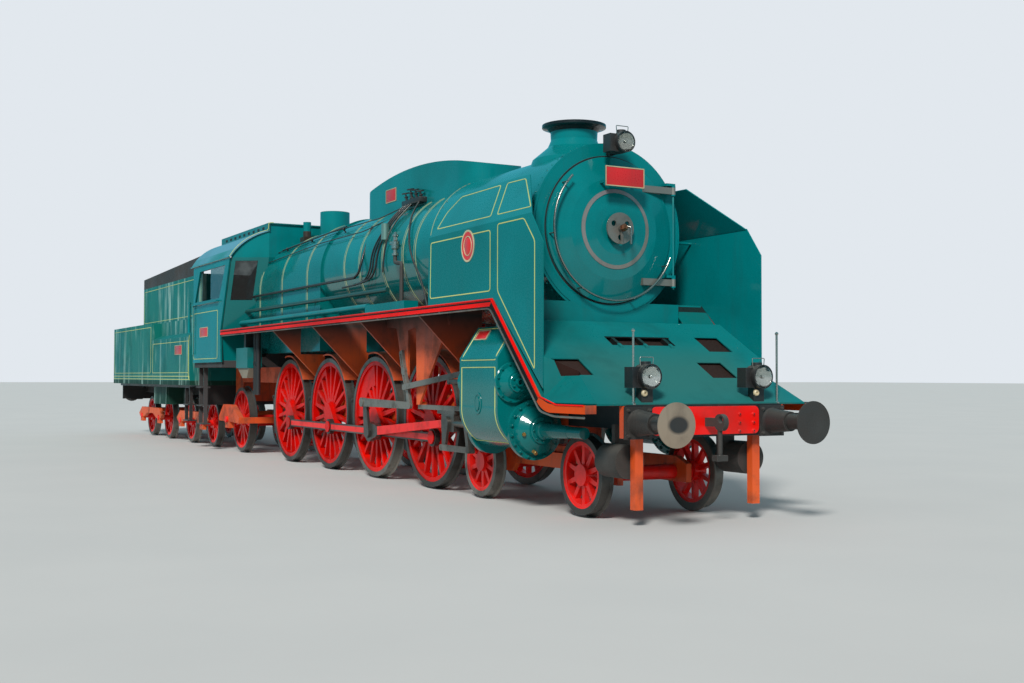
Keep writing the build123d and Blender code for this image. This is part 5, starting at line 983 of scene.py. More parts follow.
def arc_centre(first, second, third):
    """Centre of the circle through three (y, z) points."""
    def mid_line(a, b):
        return b[0] - a[0], b[1] - a[1], (b[0] ** 2 - a[0] ** 2 + b[1] ** 2 - a[1] ** 2) / 2
    a1, b1, c1 = mid_line(first, second)
    a2, b2, c2 = mid_line(second, third)
    whole = a1 * b2 - a2 * b1
    return (c1 * b2 - c2 * b1) / whole, (a1 * c2 - a2 * c1) / whole


def angle_from(centre, point):
    """Angle at which a (y, z) point is seen from a centre."""
    return atan2(point[1] - centre[1], point[0] - centre[0]) % (2 * pi)


def arc(centre, radius, start, stop, steps):
    """Points (y, z) along an arc from one angle to another."""
    angles = [start + (stop - start) * i / steps for i in range(steps + 1)]
    return [(centre[0] + radius * cos(angle), centre[1] + radius * sin(angle)) for angle in angles]


rear, front = CYLINDER_ENDS
chamfer = [(rear, *point) for point in CHAMFER] + [(front, *point) for point in reversed(CHAMFER)]
line_ends = list(zip(chamfer, chamfer[1:] + chamfer[:1]))
sheet_centre = arc_centre(*SHEET_ARC)
sheet_radius = hypot(SHEET_ARC[2][0] - sheet_centre[0], SHEET_ARC[2][1] - sheet_centre[1])
sheet_start = angle_from(sheet_centre, SHEET_ARC[2])
under = arc(sheet_centre, sheet_radius, sheet_start, sheet_start + radians(60), 10)
line_ends.append([(x, CYLINDER_FACE, SIDE_TOP) for x in CYLINDER_ENDS])
line_ends.append([(x, under[-1][0], under[-1][1] - 0.001) for x in CYLINDER_ENDS])
line_ends += [[(x, CYLINDER_FACE, SIDE_TOP)] + [(x, *point) for point in under] for x in CYLINDER_ENDS]
cylinder_lines = [tube("line", route, LINE_RADIUS, 1) for route in line_ends]
dress(twin(join(cylinder_lines, "cylinder_lining")), lining_paint)
print("cylinder lining made")

# %% [markdown]
# ## Boiler bands
# Thin steel hoops hold the boiler's lagging sheets. Over the barrel they are circles, and over the firebox
# they are arches that follow its round top and flat sides. Each hoop carries a pale line along both edges,
# and one more line rings the rear end of the smokebox.

# %% Boiler bands
BARREL_RADIUS = 0.93
FIREBOX_RADIUS = 0.96
FIREBOX_SPAN = (-1.5, 2.8)
FIREBOX_DROP = 0.13
FIREBOX_FOOT = 2.46
BAND_HALF = 0.028
LINE_INSET = 0.008
LINE_WIDTH = 0.009
CIRCLE_STEPS = 64
ARCH_STEPS = 40
BARREL_BANDS = (3.83, 4.48, 5.41, 6.16, 6.59)
FIREBOX_BANDS = (-0.56, 0.76, 2.13)
SMOKEBOX_RADIUS = 1.0105
SMOKEBOX_LINE = (7.262, 7.275)


def circle_section(radius):
    """Points (y, z) of a circle about the boiler's axis."""
    return [(radius * sin(2 * pi * i / CIRCLE_STEPS), BOILER_AXIS + radius * cos(2 * pi * i / CIRCLE_STEPS))
            for i in range(CIRCLE_STEPS)]


def arch_section(x):
    """Firebox outline at x, from the right foot over the top to the left foot."""
    drop = FIREBOX_DROP * (FIREBOX_SPAN[1] - x) / (FIREBOX_SPAN[1] - FIREBOX_SPAN[0])
    arch = arc((0, BOILER_AXIS - drop), FIREBOX_RADIUS, pi, 0, ARCH_STEPS)
    return [(-FIREBOX_RADIUS, FIREBOX_FOOT)] + arch + [(FIREBOX_RADIUS, FIREBOX_FOOT)]


bands = [(x, circle_section(BARREL_RADIUS), True) for x in BARREL_BANDS]
bands += [(x, arch_section(x), False) for x in FIREBOX_BANDS]
band_pieces, band_lines = [], []
for x, section, closed in bands:
    band_pieces.append(hoop("band", section, x - BAND_HALF, x + BAND_HALF, 0.006, closed))
    for edge_x in (x - BAND_HALF, x + BAND_HALF - LINE_INSET):
        band_lines.append(hoop("line", section, edge_x, edge_x + LINE_WIDTH, 0.008, closed))
band_lines.append(hoop("line", circle_section(SMOKEBOX_RADIUS), *SMOKEBOX_LINE, 0.004))
band_cream = finish("band_cream", tint(168, 178, 140), tint(146, 164, 124), rough=(0.3, 0.45), grime=0.3,
                    dust=0.1, edge=0.0)
dress(join(band_pieces, "boiler_bands"), green)
dress(join(band_lines, "boiler_lining"), band_cream)
print("boiler bands:", len(bands))

# %% [markdown]
# ## Smokebox front
# The door carries a bright handrail round most of its rim, a flat lilac-grey ring at half its radius and a
# handwheel with a copper nut at its middle. A pale rod runs through both hinges, and a ring of rivets stands
# at each end of the smokebox shell.

# %% Smokebox rivets and rings
RIVETS_ROUND = 64
smokebox_spots = spots_round(RIVETS_ROUND, 1.04, 10.07) + spots_round(RIVETS_ROUND, 1.011, 7.33)
dress(copies(rivet(), smokebox_spots, "smokebox_rivets"), green)
# The black ring in the gap round the door is painted shade.
front_ring = turned("door_gap_ring", [(10.142, 0.872), (10.153, 0.872), (10.153, 0.888), (10.142, 0.892)], 64)
dress(aimed(front_ring, (0, 0, BOILER_AXIS)), soot_and_shade)
door_ring = turned("door_ring", [(10.285, 0.425), (10.306, 0.428), (10.298, 0.473), (10.28, 0.475)], 64)
ring_lilac = finish("ring_lilac", tint(150, 142, 160), STEEL, metallic=0.4, rough=(0.4, 0.55), grime=0.3,
                    dust=0.1, edge=0.3)
dress(aimed(door_ring, (0, 0, BOILER_AXIS)), ring_lilac, "smokebox_door")
print("smokebox rings made")

# %% Door handrail, hinge rod and handwheel nut
RAIL_RADIUS = 0.845
RAIL_X = 10.3
RAIL_START = -45
RAIL_SWEEP = -204
RAIL_STEPS = 28
RAIL_POSTS = (1, 7, 14, 21, 27)
HINGE_PLACE = (10.24, 0.875)
rail_points = []
for i in range(RAIL_STEPS + 1):
    angle = radians(RAIL_START + RAIL_SWEEP * i / RAIL_STEPS)
    rail_points.append((RAIL_X, RAIL_RADIUS * sin(angle), BOILER_AXIS + RAIL_RADIUS * cos(angle)))
rail_pieces = [tube("rail", rail_points, 0.014)]
for i in RAIL_POSTS:
    foot = (10.185, rail_points[i][1], rail_points[i][2])
    rail_pieces.append(tube("post", [foot, rail_points[i]], 0.009, 2))
    knob = turned("knob", [(-0.016, 0), (-0.012, 0.012), (0, 0.017), (0.012, 0.012), (0.016, 0)], 12)
    rail_pieces.append(aimed(knob, rail_points[i]))
dress(join(rail_pieces, "door_handrail"), bright, "smokebox_door")
hinge_rod = tube("hinge_rod", [(*HINGE_PLACE, 2.62), (*HINGE_PLACE, 3.87)], 0.0125)
hinge_cap = turned("cap", [(-0.02, 0), (-0.02, 0.02), (0.01, 0.02), (0.022, 0.01), (0.022, 0)], 12)
aimed(hinge_cap, (*HINGE_PLACE, 3.885), (0, 0, 1))
pale_green = finish("pale_green", tint(120, 176, 160), TEAL_LIGHT, rough=(0.3, 0.45), grime=0.2, dust=0.1,
                    edge=0.2)
dress(join([hinge_rod, hinge_cap], "hinge_rod"), pale_green)
copper = finish("copper_nut", COPPER, tint(160, 96, 66), metallic=0.9, rough=(0.25, 0.4), grime=0.3,
                dust=0.05, edge=0.3)
nut = turned("door_nut", [(10.44, 0), (10.44, 0.036), (10.455, 0.045), (10.495, 0.045), (10.51, 0.03),
                          (10.53, 0.02), (10.53, 0)], 6)
dress(aimed(nut, (0, 0, BOILER_AXIS)), copper, "smokebox_door")
HANDLE_ROUTE = [(10.5, 0.03, 3.31), (10.53, 0.06, 3.30), (10.54, 0.055, 3.10)]
dress(tube("locking_handle", bent(HANDLE_ROUTE, 0.03), 0.015), bright, "smokebox_door")
print("door fittings made")

# %% [markdown]
# ## Plates
# The number plate, the round badge on each deflector and the small works plates are red with a pale raised
# rim. They stay blank here, so only their shape, rim and enamel are made.

# %% Blank plates
plate_red = finish("plate_red", PLATE_RED, tint(176, 22, 24), rough=(0.25, 0.4), coat=0.2, grime=0.2,
                   dust=0.05, edge=0.2)
rim_pale = finish("plate_rim", CREAM, tint(176, 164, 130), rough=(0.35, 0.5), metallic=0.2, grime=0.3,
                  dust=0.1, edge=0.2)
NUMBER_PLATE = ((-0.272, 3.771), (0.272, 3.771), (0.272, 4.005), (-0.272, 4.005))
number_face = slab("number_plate_face", [(10.4935, y, z) for y, z in NUMBER_PLATE], 0.004, 0.001)
dress(number_face, plate_red, "smokebox_door")
number_rim = line_frame("number_plate_rim", [(10.495, y, z) for y, z in NUMBER_PLATE], 0.012, 0.012, 0.004)
dress(number_rim, rim_pale, "smokebox_door")
BADGE_PLACE = (9.375, SIDE_FACE, 3.104)
BADGE_NARROWING = 0.88


def badge_ring(name, profile):
    """A ring or disc of the round badge, made a little narrower than high."""
    piece = aimed(turned(name, profile, 40), (0, 0, 0), (0, -1, 0))
    piece.scale = (BADGE_NARROWING, 1, 1)
    settle(piece)
    piece.location = BADGE_PLACE
    return settle(piece)


badge_face = badge_ring("badge", [(0, 0), (0, 0.172), (0.006, 0.172), (0.008, 0.13), (0.004, 0.122),
                                  (0.004, 0.1), (0.010, 0.09), (0.014, 0)])
dress(twin(badge_face), plate_red)
badge_rims = [badge_ring("badge_rim", profile) for profile in (
    [(0, 0.168), (0.008, 0.17), (0.011, 0.18), (0.008, 0.192), (0, 0.192)],
    [(0.003, 0.108), (0.009, 0.110), (0.010, 0.114), (0.009, 0.118), (0.003, 0.12)],
)]
dress(twin(join(badge_rims, "badge_rims")), rim_pale)
PLATE_FACE = -1.503
CHEST_SLOPE = ((-1.312, 1.99), (-1.235, 2.107))
slope_plate = [(9.2, *CHEST_SLOPE[0]), (9.5, *CHEST_SLOPE[0]), (9.5, *CHEST_SLOPE[1]), (9.2, *CHEST_SLOPE[1])]
SMALL_PLATES = (
    # name, body, corners on the right side
    ("cab_plate", "locomotive", oblong(-2.93, -2.33, 2.35, 2.55, PLATE_FACE)),
    ("tender_plate", "tender", oblong(-5.08, -4.46, 2.02, 2.23, PLATE_FACE)),
    ("casing_plate", "locomotive", oblong(4.48, 4.88, 4.28, 4.49, -0.483)),
    ("cylinder_plate", "locomotive", slope_plate),
)
for name, body, corners in SMALL_PLATES:
    face = slab(name, corners, 0.006, 0.002)
    dress(twin(face), plate_red, body)
    dress(twin(line_frame(name + "_rim", corners, 0.012, 0.01, 0.006)), rim_pale, body)
print("plates made")

# %% [markdown]
# ## Lamps
# Each lamp has a silvered bowl, a small bulb and a thick domed lens in its rim, and a wire loop to lift it
# by. Two cream sockets face forwards below the lower lamps.

# %% Lamp lenses, bowls and loops
silvered = finish("silvered_bowl", tint(214, 214, 210), STEEL_PALE, metallic=1.0, rough=(0.08, 0.16),
                  grime=0.1, dust=0.0, edge=0.0, bump=0.05)
cream_enamel = finish("cream_enamel", CREAM, tint(182, 166, 128), rough=(0.3, 0.45), grime=0.35, dust=0.1,
                      edge=0.3)
LAMPS = (
    # x, y, z, radius
    (12.0403, -0.735, 1.558, 0.118),
    (12.0403, 0.735, 1.558, 0.118),
    (10.495, 0.0, 4.303, 0.113),
)
lenses, bowls, loops = [], [], []
for x, y, z, radius in LAMPS:
    lens = turned("lens", [(0.022, 0), (0.022, radius * 0.98), (0.03, radius * 0.98), (0.043, radius * 0.8),
                           (0.054, radius * 0.45), (0.058, 0)], 32)
    lenses.append(aimed(lens, (x, y, z)))
    bowl = turned("bowl", [(0.001, 0), (0.001, radius * 0.9), (0.016, radius * 0.97), (0.018, radius * 0.99),
                           (0.012, radius * 0.85), (0.004, radius * 0.4), (0.004, 0)], 32)
    bowls.append(aimed(bowl, (x, y, z)))
    bulb = turned("bulb", [(0.004, 0), (0.006, 0.012), (0.014, 0.018), (0.02, 0.012), (0.0215, 0)], 16)
    bowls.append(aimed(bulb, (x, y, z)))
    top = z + radius + 0.012
    loop_route = [(x - 0.06, y - 0.075, top - 0.02), (x - 0.06, y - 0.085, top + 0.07),
                  (x - 0.06, y + 0.085, top + 0.07), (x - 0.06, y + 0.075, top - 0.02)]
    loops.append(tube("loop", bent(loop_route, 0.03), 0.005, 2))
dress(join(lenses, "lamp_lenses"), lens_glass)
dress(join(bowls, "lamp_bowls"), silvered)
dress(join(loops, "lamp_loops"), bright)
sockets = []
for y in (-0.775, 0.69):
    socket = turned("socket", [(0, 0), (0, 0.034), (0.02, 0.034), (0.028, 0.026), (0.028, 0.014),
                               (0.012, 0.012), (0.012, 0)], 24)
    sockets.append(aimed(socket, (11.99, y, 1.385)))
dress(join(sockets, "lamp_sockets"), cream_enamel)
print("lamps made:", len(LAMPS))

# %% [markdown]
# ## Front beam
# Bright marker rods stand at its ends, bolt heads hold its red plate and the buffer bases, and dark blocks
# below the slots of the sloping apron paint the shade inside them.

# %% Marker rods, bolts and trays
MARKER_X = 11.985
BALL_PROFILE = ((-0.02, 0), (-0.014, 0.014), (0, 0.02), (0.014, 0.014), (0.02, 0))
FOOT_PROFILE = ((0, 0), (0, 0.03), (0.012, 0.03), (0.03, 0.014), (0.03, 0))
markers = []
for y in (-0.905, 0.99):
    markers.append(tube("marker", [(MARKER_X, y, 1.255), (MARKER_X, y, 2.02)], 0.012, 2))
    markers.append(aimed(turned("ball", BALL_PROFILE, 16), (MARKER_X, y, 2.03)))
    markers.append(aimed(turned("foot", FOOT_PROFILE, 16), (MARKER_X, y, 1.268), (0, 0, 1)))
dress(join(markers, "marker_rods"), bright)
beam_spots = [((12.0303, side * y, z), (1, 0, 0))
              for side in (-1, 1) for y in (0.43, 0.62) for z in (0.98, 1.07, 1.16)]
dress(copies(bolt(0.017, 0.016), beam_spots, "beam_bolts"), beam)
base_spots = [((12.0403, side * 0.875 + dy, 1.083 + dz), (1, 0, 0))
              for side in (-1, 1) for dy in (-0.13, 0.13) for dz in (-0.13, 0.13)]
dress(copies(bolt(0.019, 0.018), base_spots, "buffer_bolts"), cast)
APRON_TOP = (10.38, 2.198)
APRON_FOOT = (12.008, 1.2803)
apron_fall = (APRON_TOP[1] - APRON_FOOT[1]) / (APRON_FOOT[0] - APRON_TOP[0])


def apron_z(x):
    """Height of the sloping apron at x."""
    return APRON_TOP[1] - apron_fall * (x - APRON_TOP[0])


def tray_block(corners, depth):
    """A dark block under a slot, its colour painted shade inside the opening, its top parallel to the apron
    and a little below it.
    """
    block = outline_from([(x, y, apron_z(x) - 0.045) for x, y in corners], "tray", filled=True)
    edit(block, "FACE")
    extrude((0, 0, -depth))
    leave()
    mend(block)
    return block


TRAY_REACH = 0.12
TRAYS = (
    # x, y, half length, half width
    (11.38, 0.64, 0.165, 0.19),
    (10.84, 1.01, 0.165, 0.19),
    (10.795, 0.0, 0.105, 0.44),
)
trays = []
for x, y, half_x, half_y in TRAYS:
    plan = [(x - half_x - TRAY_REACH, y - half_y), (x + half_x, y - half_y), (x + half_x, y + half_y),
            (x - half_x - TRAY_REACH, y + half_y)]
    trays.append(tray_block(plan, 0.09))
NEAR_TRAY = [(11.05, -1.43), (11.34, -1.155), (11.52, -1.19), (11.52, -1.04), (11.05, -1.04)]
trays.append(tray_block(NEAR_TRAY, 0.3))
# The blocks' dark brown is painted shade inside the slots.
tray_painted_shade = finish("tray_painted_shade", tint(46, 26, 22), tint(34, 22, 20), rough=(0.7, 0.9), grime=0.3, dust=0.05,
                    edge=0.0, shine=0.1)
dress(join(trays, "apron_slot_shades"), tray_painted_shade)

# %% [markdown]
# The near slot's own corner folds down towards the buffer beam. Four small plates fan out from the valley of
# that fold and close it again below the slot, so that the opening keeps its slanted four-sided shape.

# %% Folded plates beside the near slot
FOLD_FACE = -1.4754
VALLEY = Vector((11.33, -1.2, apron_z(11.33)))
FOLD_TOP = Vector((11.15, FOLD_FACE, apron_z(11.15)))
FOLD_ENDS = [Vector(end) for end in (
    (11.15, FOLD_FACE, 1.335), (11.22, FOLD_FACE, 1.3015),
    (11.335, FOLD_FACE, 1.2803), (12.008, -1.36, 1.2803),
)]
SLOT_SHARES = (0.31, 0.281, 0.264, 0.255)
SLOT_CORNER = Vector((11.2495, -1.3231, 1.561))
slot_foot = [VALLEY + (end - VALLEY) * share for end, share in zip(FOLD_ENDS, SLOT_SHARES)]
slot_top = FOLD_TOP + (VALLEY - FOLD_TOP) * 0.33
folds = [[FOLD_TOP, slot_top, SLOT_CORNER, slot_foot[0], FOLD_ENDS[0]]]
folds += [[FOLD_ENDS[i], slot_foot[i], slot_foot[i + 1], FOLD_ENDS[i + 1]] for i in range(3)]
plates = [slab("fold", corners, 0.006, 0) for corners in folds]
dress(join(plates, "slot_folds"), apron_green)
riser_cheek = box_piece("riser_cheeks", (10.02, -1.45, 2.12), (10.032, -1.0, 2.44), 0.002)
dress(twin(riser_cheek), apron_green)
print("front beam fitted")

# %% [markdown]
# ## Cylinders
# Covers are bolted on all round, an oval boss marks each side, and small brass cocks drain the cylinder.

# %% Cylinder bolts, boss and cocks
ROD_AXIS = (-0.99, AXLE_Z)
CHEST_AXIS = (-1.27, 1.488)
cylinder_spots = cover_spots(18, 0.322, 10.13, ROD_AXIS)
dress(copies(bolt(0.02, 0.022), cylinder_spots, "cylinder_bolts"), green)
chest_rings = [
    turned("chest_flange", [(10.085, 0.13), (10.085, 0.235), (10.112, 0.235), (10.118, 0.228),
                            (10.118, 0.13)], 40),
    turned("chest_cap", [(10.2, 0.03), (10.2, 0.112), (10.236, 0.112), (10.242, 0.104), (10.242, 0.05),
                         (10.285, 0.045), (10.285, 0.03)], 32),
]
chest_rings = [aimed(ring, (0, *CHEST_AXIS)) for ring in chest_rings]
dress(twin(join(chest_rings, "chest_rings")), green)
chest_spots = cover_spots(12, 0.212, 10.118, CHEST_AXIS, 15) + cover_spots(6, 0.082, 10.242, CHEST_AXIS)
dress(copies(bolt(0.014, 0.016), chest_spots, "chest_bolts"), green)
sleeve_ring = turned("sleeve_ring", [(10.27, 0.064), (10.27, 0.155), (10.305, 0.155), (10.312, 0.146),
                                     (10.312, 0.11), (10.36, 0.104), (10.37, 0.09), (10.75, 0.078),
                                     (10.9, 0.067), (10.9, 0.064)], 40)
dress(twin(aimed(sleeve_ring, (0, *ROD_AXIS))), green)
sleeve_spots = cover_spots(8, 0.13, 10.312, ROD_AXIS)
dress(copies(bolt(0.013, 0.014), sleeve_spots, "sleeve_bolts"), green)
BOSS_STEPS = 28
boss_turns = [2 * pi * i / BOSS_STEPS for i in range(BOSS_STEPS)]
oval = [(9.585 + 0.09 * cos(turn), CYLINDER_FACE, 1.24 + 0.125 * sin(turn)) for turn in boss_turns]
boss = outline_from(oval, "cylinder_boss", filled=True)
edit(boss, "FACE")
extrude((0, -0.008, 0))
bpy.ops.mesh.inset(thickness=0.022)
extrude((0, 0.006, 0))
bpy.ops.mesh.inset(thickness=0.02)
extrude((0, -0.012, 0))
leave()
mend(boss)
dress(twin(boss), green)
brass = finish("brass_cocks", BRASS, tint(150, 112, 60), metallic=0.9, rough=(0.25, 0.45), grime=0.5,
               dust=0.1, edge=0.4)
cocks = []
for x, y, z, direction in ((10.19, -1.2, 0.9, (1, -0.2, 0)), (10.19, -1.06, 0.72, (1, 0, -0.6))):
    cock = turned("cock", [(0, 0), (0, 0.026), (0.03, 0.026), (0.034, 0.016), (0.06, 0.016), (0.066, 0.024),
                           (0.085, 0.02), (0.085, 0)], 16)
    cocks.append(aimed(cock, (x, y, z), direction))
dress(twin(join(cocks, "cylinder_cocks")), brass)
print("cylinders fitted")

# %% [markdown]
# ## Boiler fittings
# Thin black pipes run along the boiler's shoulder to the cab, one of the loaded pipes turns up at its front
# end, and a conduit follows the underside of the running board.

# %% Boiler pipes and conduits
shoulder_pipes = []
for y, z, radius, front in ((-0.66, 4.02, 0.009, 5.2), (-0.83, 3.83, 0.009, 4.9)):
    route = bent([(front, y + 0.2, z + 0.14), (front - 0.5, y, z), (2.4, y, z), (-0.95, y, z - 0.12)], 0.25)
    shoulder_pipes.append(tube("pipe", route, radius, 2))
UPTURN_ROUTE = [(4.45, -1.01, 3.088), (4.62, -1.0, 3.12), (4.68, -0.98, 3.3), (4.62, -0.86, 3.62),
                (4.5, -0.72, 3.9)]
shoulder_pipes.append(tube("pipe", UPTURN_ROUTE, 0.02, 2))
dress(twin(join(shoulder_pipes, "shoulder_pipes")), black)
CONDUIT_ROUTE = [(-1.35, -1.485, 2.338), (9.93, -1.485, 2.338), (11.08, -1.485, 1.188), (11.38, -1.485, 1.14),
                 (11.97, -1.485, 1.14)]
conduit = [tube("conduit", bent(CONDUIT_ROUTE, 0.15), 0.012, 2)]
for x in (0.5, 2.6, 4.6, 6.6, 8.6):
    conduit.append(box_piece("clip", (x - 0.02, -1.497, 2.33), (x + 0.02, -1.45, 2.36), 0.004))
dress(twin(join(conduit, "board_conduit")), tyre)
print("pipes made")

# %% Running board strips
BOARD_Z = 2.448
STRIP_FACE = -1.501
STRIP_ROUTE = on_side([(-1.38, BOARD_Z - 0.008), (9.985, BOARD_Z - 0.008), (11.09, 1.345), (11.45, 1.262),
                       (11.98, 1.262)], STRIP_FACE)
strip_top = tube("strip_top", bent(STRIP_ROUTE, 0.02), 0.009, 2)
LOW_STRIP_ROUTE = on_side([(-1.38, BOARD_Z - 0.086), (9.955, BOARD_Z - 0.086)], STRIP_FACE)
strip_low = tube("strip_low", LOW_STRIP_ROUTE, 0.007, 2)
dress(twin(join([strip_top, strip_low], "board_strips")), red_strip)
toe = box_piece("board_toes", (12.006, -1.499, 1.18), (12.018, -1.37, 1.266), 0.003)
dress(twin(toe), orange)
print("strips made")

# %% [markdown]
# ## Splashers
# A curved sheet behind the top of each driving wheel keeps thrown oil off the frames. It could be cut from a
# pipe, but a flat grid bent over the wheel's own circle gives the same sheet with even faces and no waste.

# %% Splashers over the driving wheels
SHEET_STEPS = 24
SPLASHER_SPAN = (34, 102)


def arc_sheet(name, x, radius, y0, y1, thickness):
    """A flat grid bent into part of a cylinder about the driving axle at x."""
    deselect()
    bpy.ops.mesh.primitive_grid_add(x_subdivisions=SHEET_STEPS, y_subdivisions=1, size=1)
    piece = bpy.context.active_object
    piece.name = name
    start, stop = SPLASHER_SPAN
    for vertex in piece.data.vertices:
        angle = radians(start + (stop - start) * (vertex.co.x + 0.5))
        side_y = y0 if vertex.co.y < 0 else y1
        vertex.co = (x + radius * cos(angle), side_y, AXLE_Z + radius * sin(angle))
    thicken(piece, thickness)
    mend(piece, 0.00001)
    smooth(piece)
    return piece


splashers = []
for x in DRIVER_PLACES:
    splashers.append(arc_sheet("splasher", x, 0.985, -0.845, -0.62, 0.006))
    splashers.append(arc_sheet("splasher_lip", x, 0.975, -0.849, -0.841, 0.02))
splasher_paint = finish("splasher_paint", ORANGE, ORANGE_LIGHT, rough=(0.4, 0.6), grime=0.6, streaks=0.1,
                        dust=0.2, edge=0.4, patch=3.0)
dress(twin(join(splashers, "splashers")), splasher_paint)
print("splashers:", 2 * len(DRIVER_PLACES))

# %% [markdown]
# ## Boiler top
# A shoulder rail on turned posts runs beside the safety valves. A row of steam valves with small handwheels
# sits on the dome casing's right side, and their thin pipes run down the barrel. Each valve is a turned stem
# with a ring wheel and one spoke. A check valve and its delivery pipe stand on each side of the barrel.

# %% Shoulder rail
SHOULDER_RAIL = ((0.0, -0.70, 3.93), (3.35, -0.71, 4.03))
rail_length = SHOULDER_RAIL[1][0]
rail_rise = SHOULDER_RAIL[1][2] - SHOULDER_RAIL[0][2]
top_rail = [tube("shoulder_rail", SHOULDER_RAIL, 0.013)]
for x, drop in ((0.25, 0.08), (1.62, 0.09), (3.2, 0.10)):
    post = turned("post", [(0, 0), (0, 0.026), (0.012, 0.026), (0.02, 0.013), (0.06, 0.011), (0.075, 0.022),
                           (0.095, 0.024), (0.112, 0.014), (0.114, 0)], 16)
    foot = (x, -0.655, SHOULDER_RAIL[0][2] + rail_rise * x / rail_length - drop)
    top_rail.append(aimed(post, foot, (0, -0.5, 0.85)))
dress(twin(join(top_rail, "shoulder_rails")), black)
print("shoulder rails made")

# %% Steam valves on the casing
VALVE_LEAN = (0, -0.2, 0.98)
valve_pieces = [box_piece("valve_block", (5.35, -0.60, 4.12), (6.02, -0.47, 4.20), 0.012)]
for x, z in ((5.42, 4.27), (5.6, 4.31), (5.78, 4.28), (5.96, 4.24)):
    stem = turned("stem", [(0, 0), (0, 0.035), (0.03, 0.035), (0.035, 0.02), (0.09, 0.018), (0.095, 0.03),
                           (0.11, 0.03), (0.115, 0.012), (0.16, 0.010), (0.16, 0)], 16)
    valve_pieces.append(aimed(stem, (x, -0.53, z - 0.11), VALVE_LEAN))
    wheel_y, wheel_z = -0.562, z + 0.045
    wheel = turned("wheel", [(-0.008, 0.045), (-0.008, 0.058), (0.008, 0.058), (0.008, 0.045)], 20)
    valve_pieces.append(aimed(wheel, (x, wheel_y, wheel_z), VALVE_LEAN))
    valve_pieces.append(tube("spoke", [(x - 0.05, wheel_y, wheel_z), (x + 0.05, wheel_y, wheel_z)], 0.005, 2))
dress(join(valve_pieces, "steam_valves"), black)
DOWN_PIPES = (
    # start x, end x, y, radius
    (5.42, 4.95, -0.945, 0.012),
    (5.5, 5.06, -0.95, 0.012),
    (5.6, 5.2, -0.955, 0.014),
)
down_pipes = []
for x, end_x, y, radius in DOWN_PIPES:
    route = [(x, -0.56, 4.15), (x - 0.05, -0.74, 3.97), (x - 0.15, -0.88, 3.72), (end_x + 0.08, y, 3.45),
             (end_x, y - 0.005, 3.1), (end_x - 0.35, y - 0.02, 2.98), (3.9, y - 0.03, 2.97)]
    down_pipes.append(tube("pipe", route, radius, 2))
FRONT_DOWN_ROUTE = [(5.96, -0.56, 4.15), (6.1, -0.76, 3.94), (6.35, -0.92, 3.6), (6.5, -0.965, 3.3),
                    (6.85, -0.97, 2.95), (7.15, -1.035, 2.7), (7.3, -1.05, 2.46)]
down_pipes.append(tube("pipe", FRONT_DOWN_ROUTE, 0.014, 2))
dress(join(down_pipes, "steam_pipes"), black)
OIL_ROUTE = [(5.7, -0.56, 4.15), (5.66, -0.76, 3.94), (5.6, -0.9, 3.7), (5.52, -0.955, 3.4),
             (5.48, -0.955, 3.1)]
dress(tube("oil_pipe", OIL_ROUTE, 0.012, 2), gear)
print("steam valves and pipes made")

# %% Check valve and its delivery pipe
CHECK_X = 6.06
CHECK_PROFILE = ((0, 0), (0, 0.05), (0.03, 0.05), (0.035, 0.032), (0.08, 0.032), (0.1, 0.055), (0.2, 0.055),
                 (0.22, 0.034), (0.27, 0.034), (0.275, 0.048), (0.3, 0.048), (0.32, 0.02), (0.34, 0.02),
                 (0.34, 0))
check_valve = turned("check_valve", CHECK_PROFILE, 24)
check_pieces = [aimed(check_valve, (CHECK_X, -1.0, 3.3), (0, 0, 1)),
                tube("stub", [(CHECK_X, -1.0, 3.46), (CHECK_X - 0.24, -0.96, 3.5)], 0.028)]
dress(twin(join(check_pieces, "check_valves")), bright)
DELIVERY_ROUTE = [(CHECK_X, -1.0, 3.31), (CHECK_X, -1.0, 3.2), (6.385, -1.04, 3.16), (6.385, -1.04, 2.452)]
dress(twin(tube("delivery_pipes", bent(DELIVERY_ROUTE, 0.1), 0.03)), cast)
print("check valves made")

# %% [markdown]
# ## Cab and tender trim
# The ventilator on the roof has a row of small openings along each side, drawn as dark frames of painted
# shade, a yellow line follows the front edge of the roof, and the tender's front corner carries a green post
# and a line that curls under at its foot.

# %% Roof openings, roof line and gutter
VENTILATOR_FACE = -0.8725
# The roof openings are dark frames whose black is painted shade.
louvres = [line_frame("louvre", oblong(x, x + 0.11, 4.385, 4.432, VENTILATOR_FACE), 0.02, 0.0)
           for x in (-3.3 + 0.32 * i for i in range(9))]
dress(twin(join(louvres, "roof_openings")), soot_and_shade)
GUTTER_Z = 3.828
ROOF_ARC = ((-1.52, GUTTER_Z), (-1.26, 4.158), (-0.87, 4.348))
ROOF_FRONT_SIDE = -0.74
ROOF_FRONT_MIDDLE = -0.34
ROOF_LINE_Y = -1.5
ROOF_LINE_SPAN = 0.65
roof_centre = arc_centre(*ROOF_ARC)
roof_radius = hypot(ROOF_ARC[0][0] - roof_centre[0], ROOF_ARC[0][1] - roof_centre[1])
turn_low, turn_high = (angle_from(roof_centre, point) for point in (ROOF_ARC[0], ROOF_ARC[2]))
roof_line = []
for y, z in arc(roof_centre, roof_radius, turn_low, turn_high, 12):
    share = (y - ROOF_LINE_Y) / ROOF_LINE_SPAN
    roof_line.append((ROOF_FRONT_SIDE + (ROOF_FRONT_MIDDLE - ROOF_FRONT_SIDE) * share - 0.01, y, z))
roof_line += [(-0.34, -0.873, 4.45), (-0.345, -0.868, 4.49), (-0.34, -0.78, 4.491)]
dress(twin(tube("roof_line", roof_line, 0.008, 2)), lining_paint)
gutter = tube("gutter", [(-3.64, -1.522, GUTTER_Z + 0.008), (-0.75, -1.522, GUTTER_Z + 0.008)], 0.014)
dress(twin(gutter), green)
print("roof trimmed")

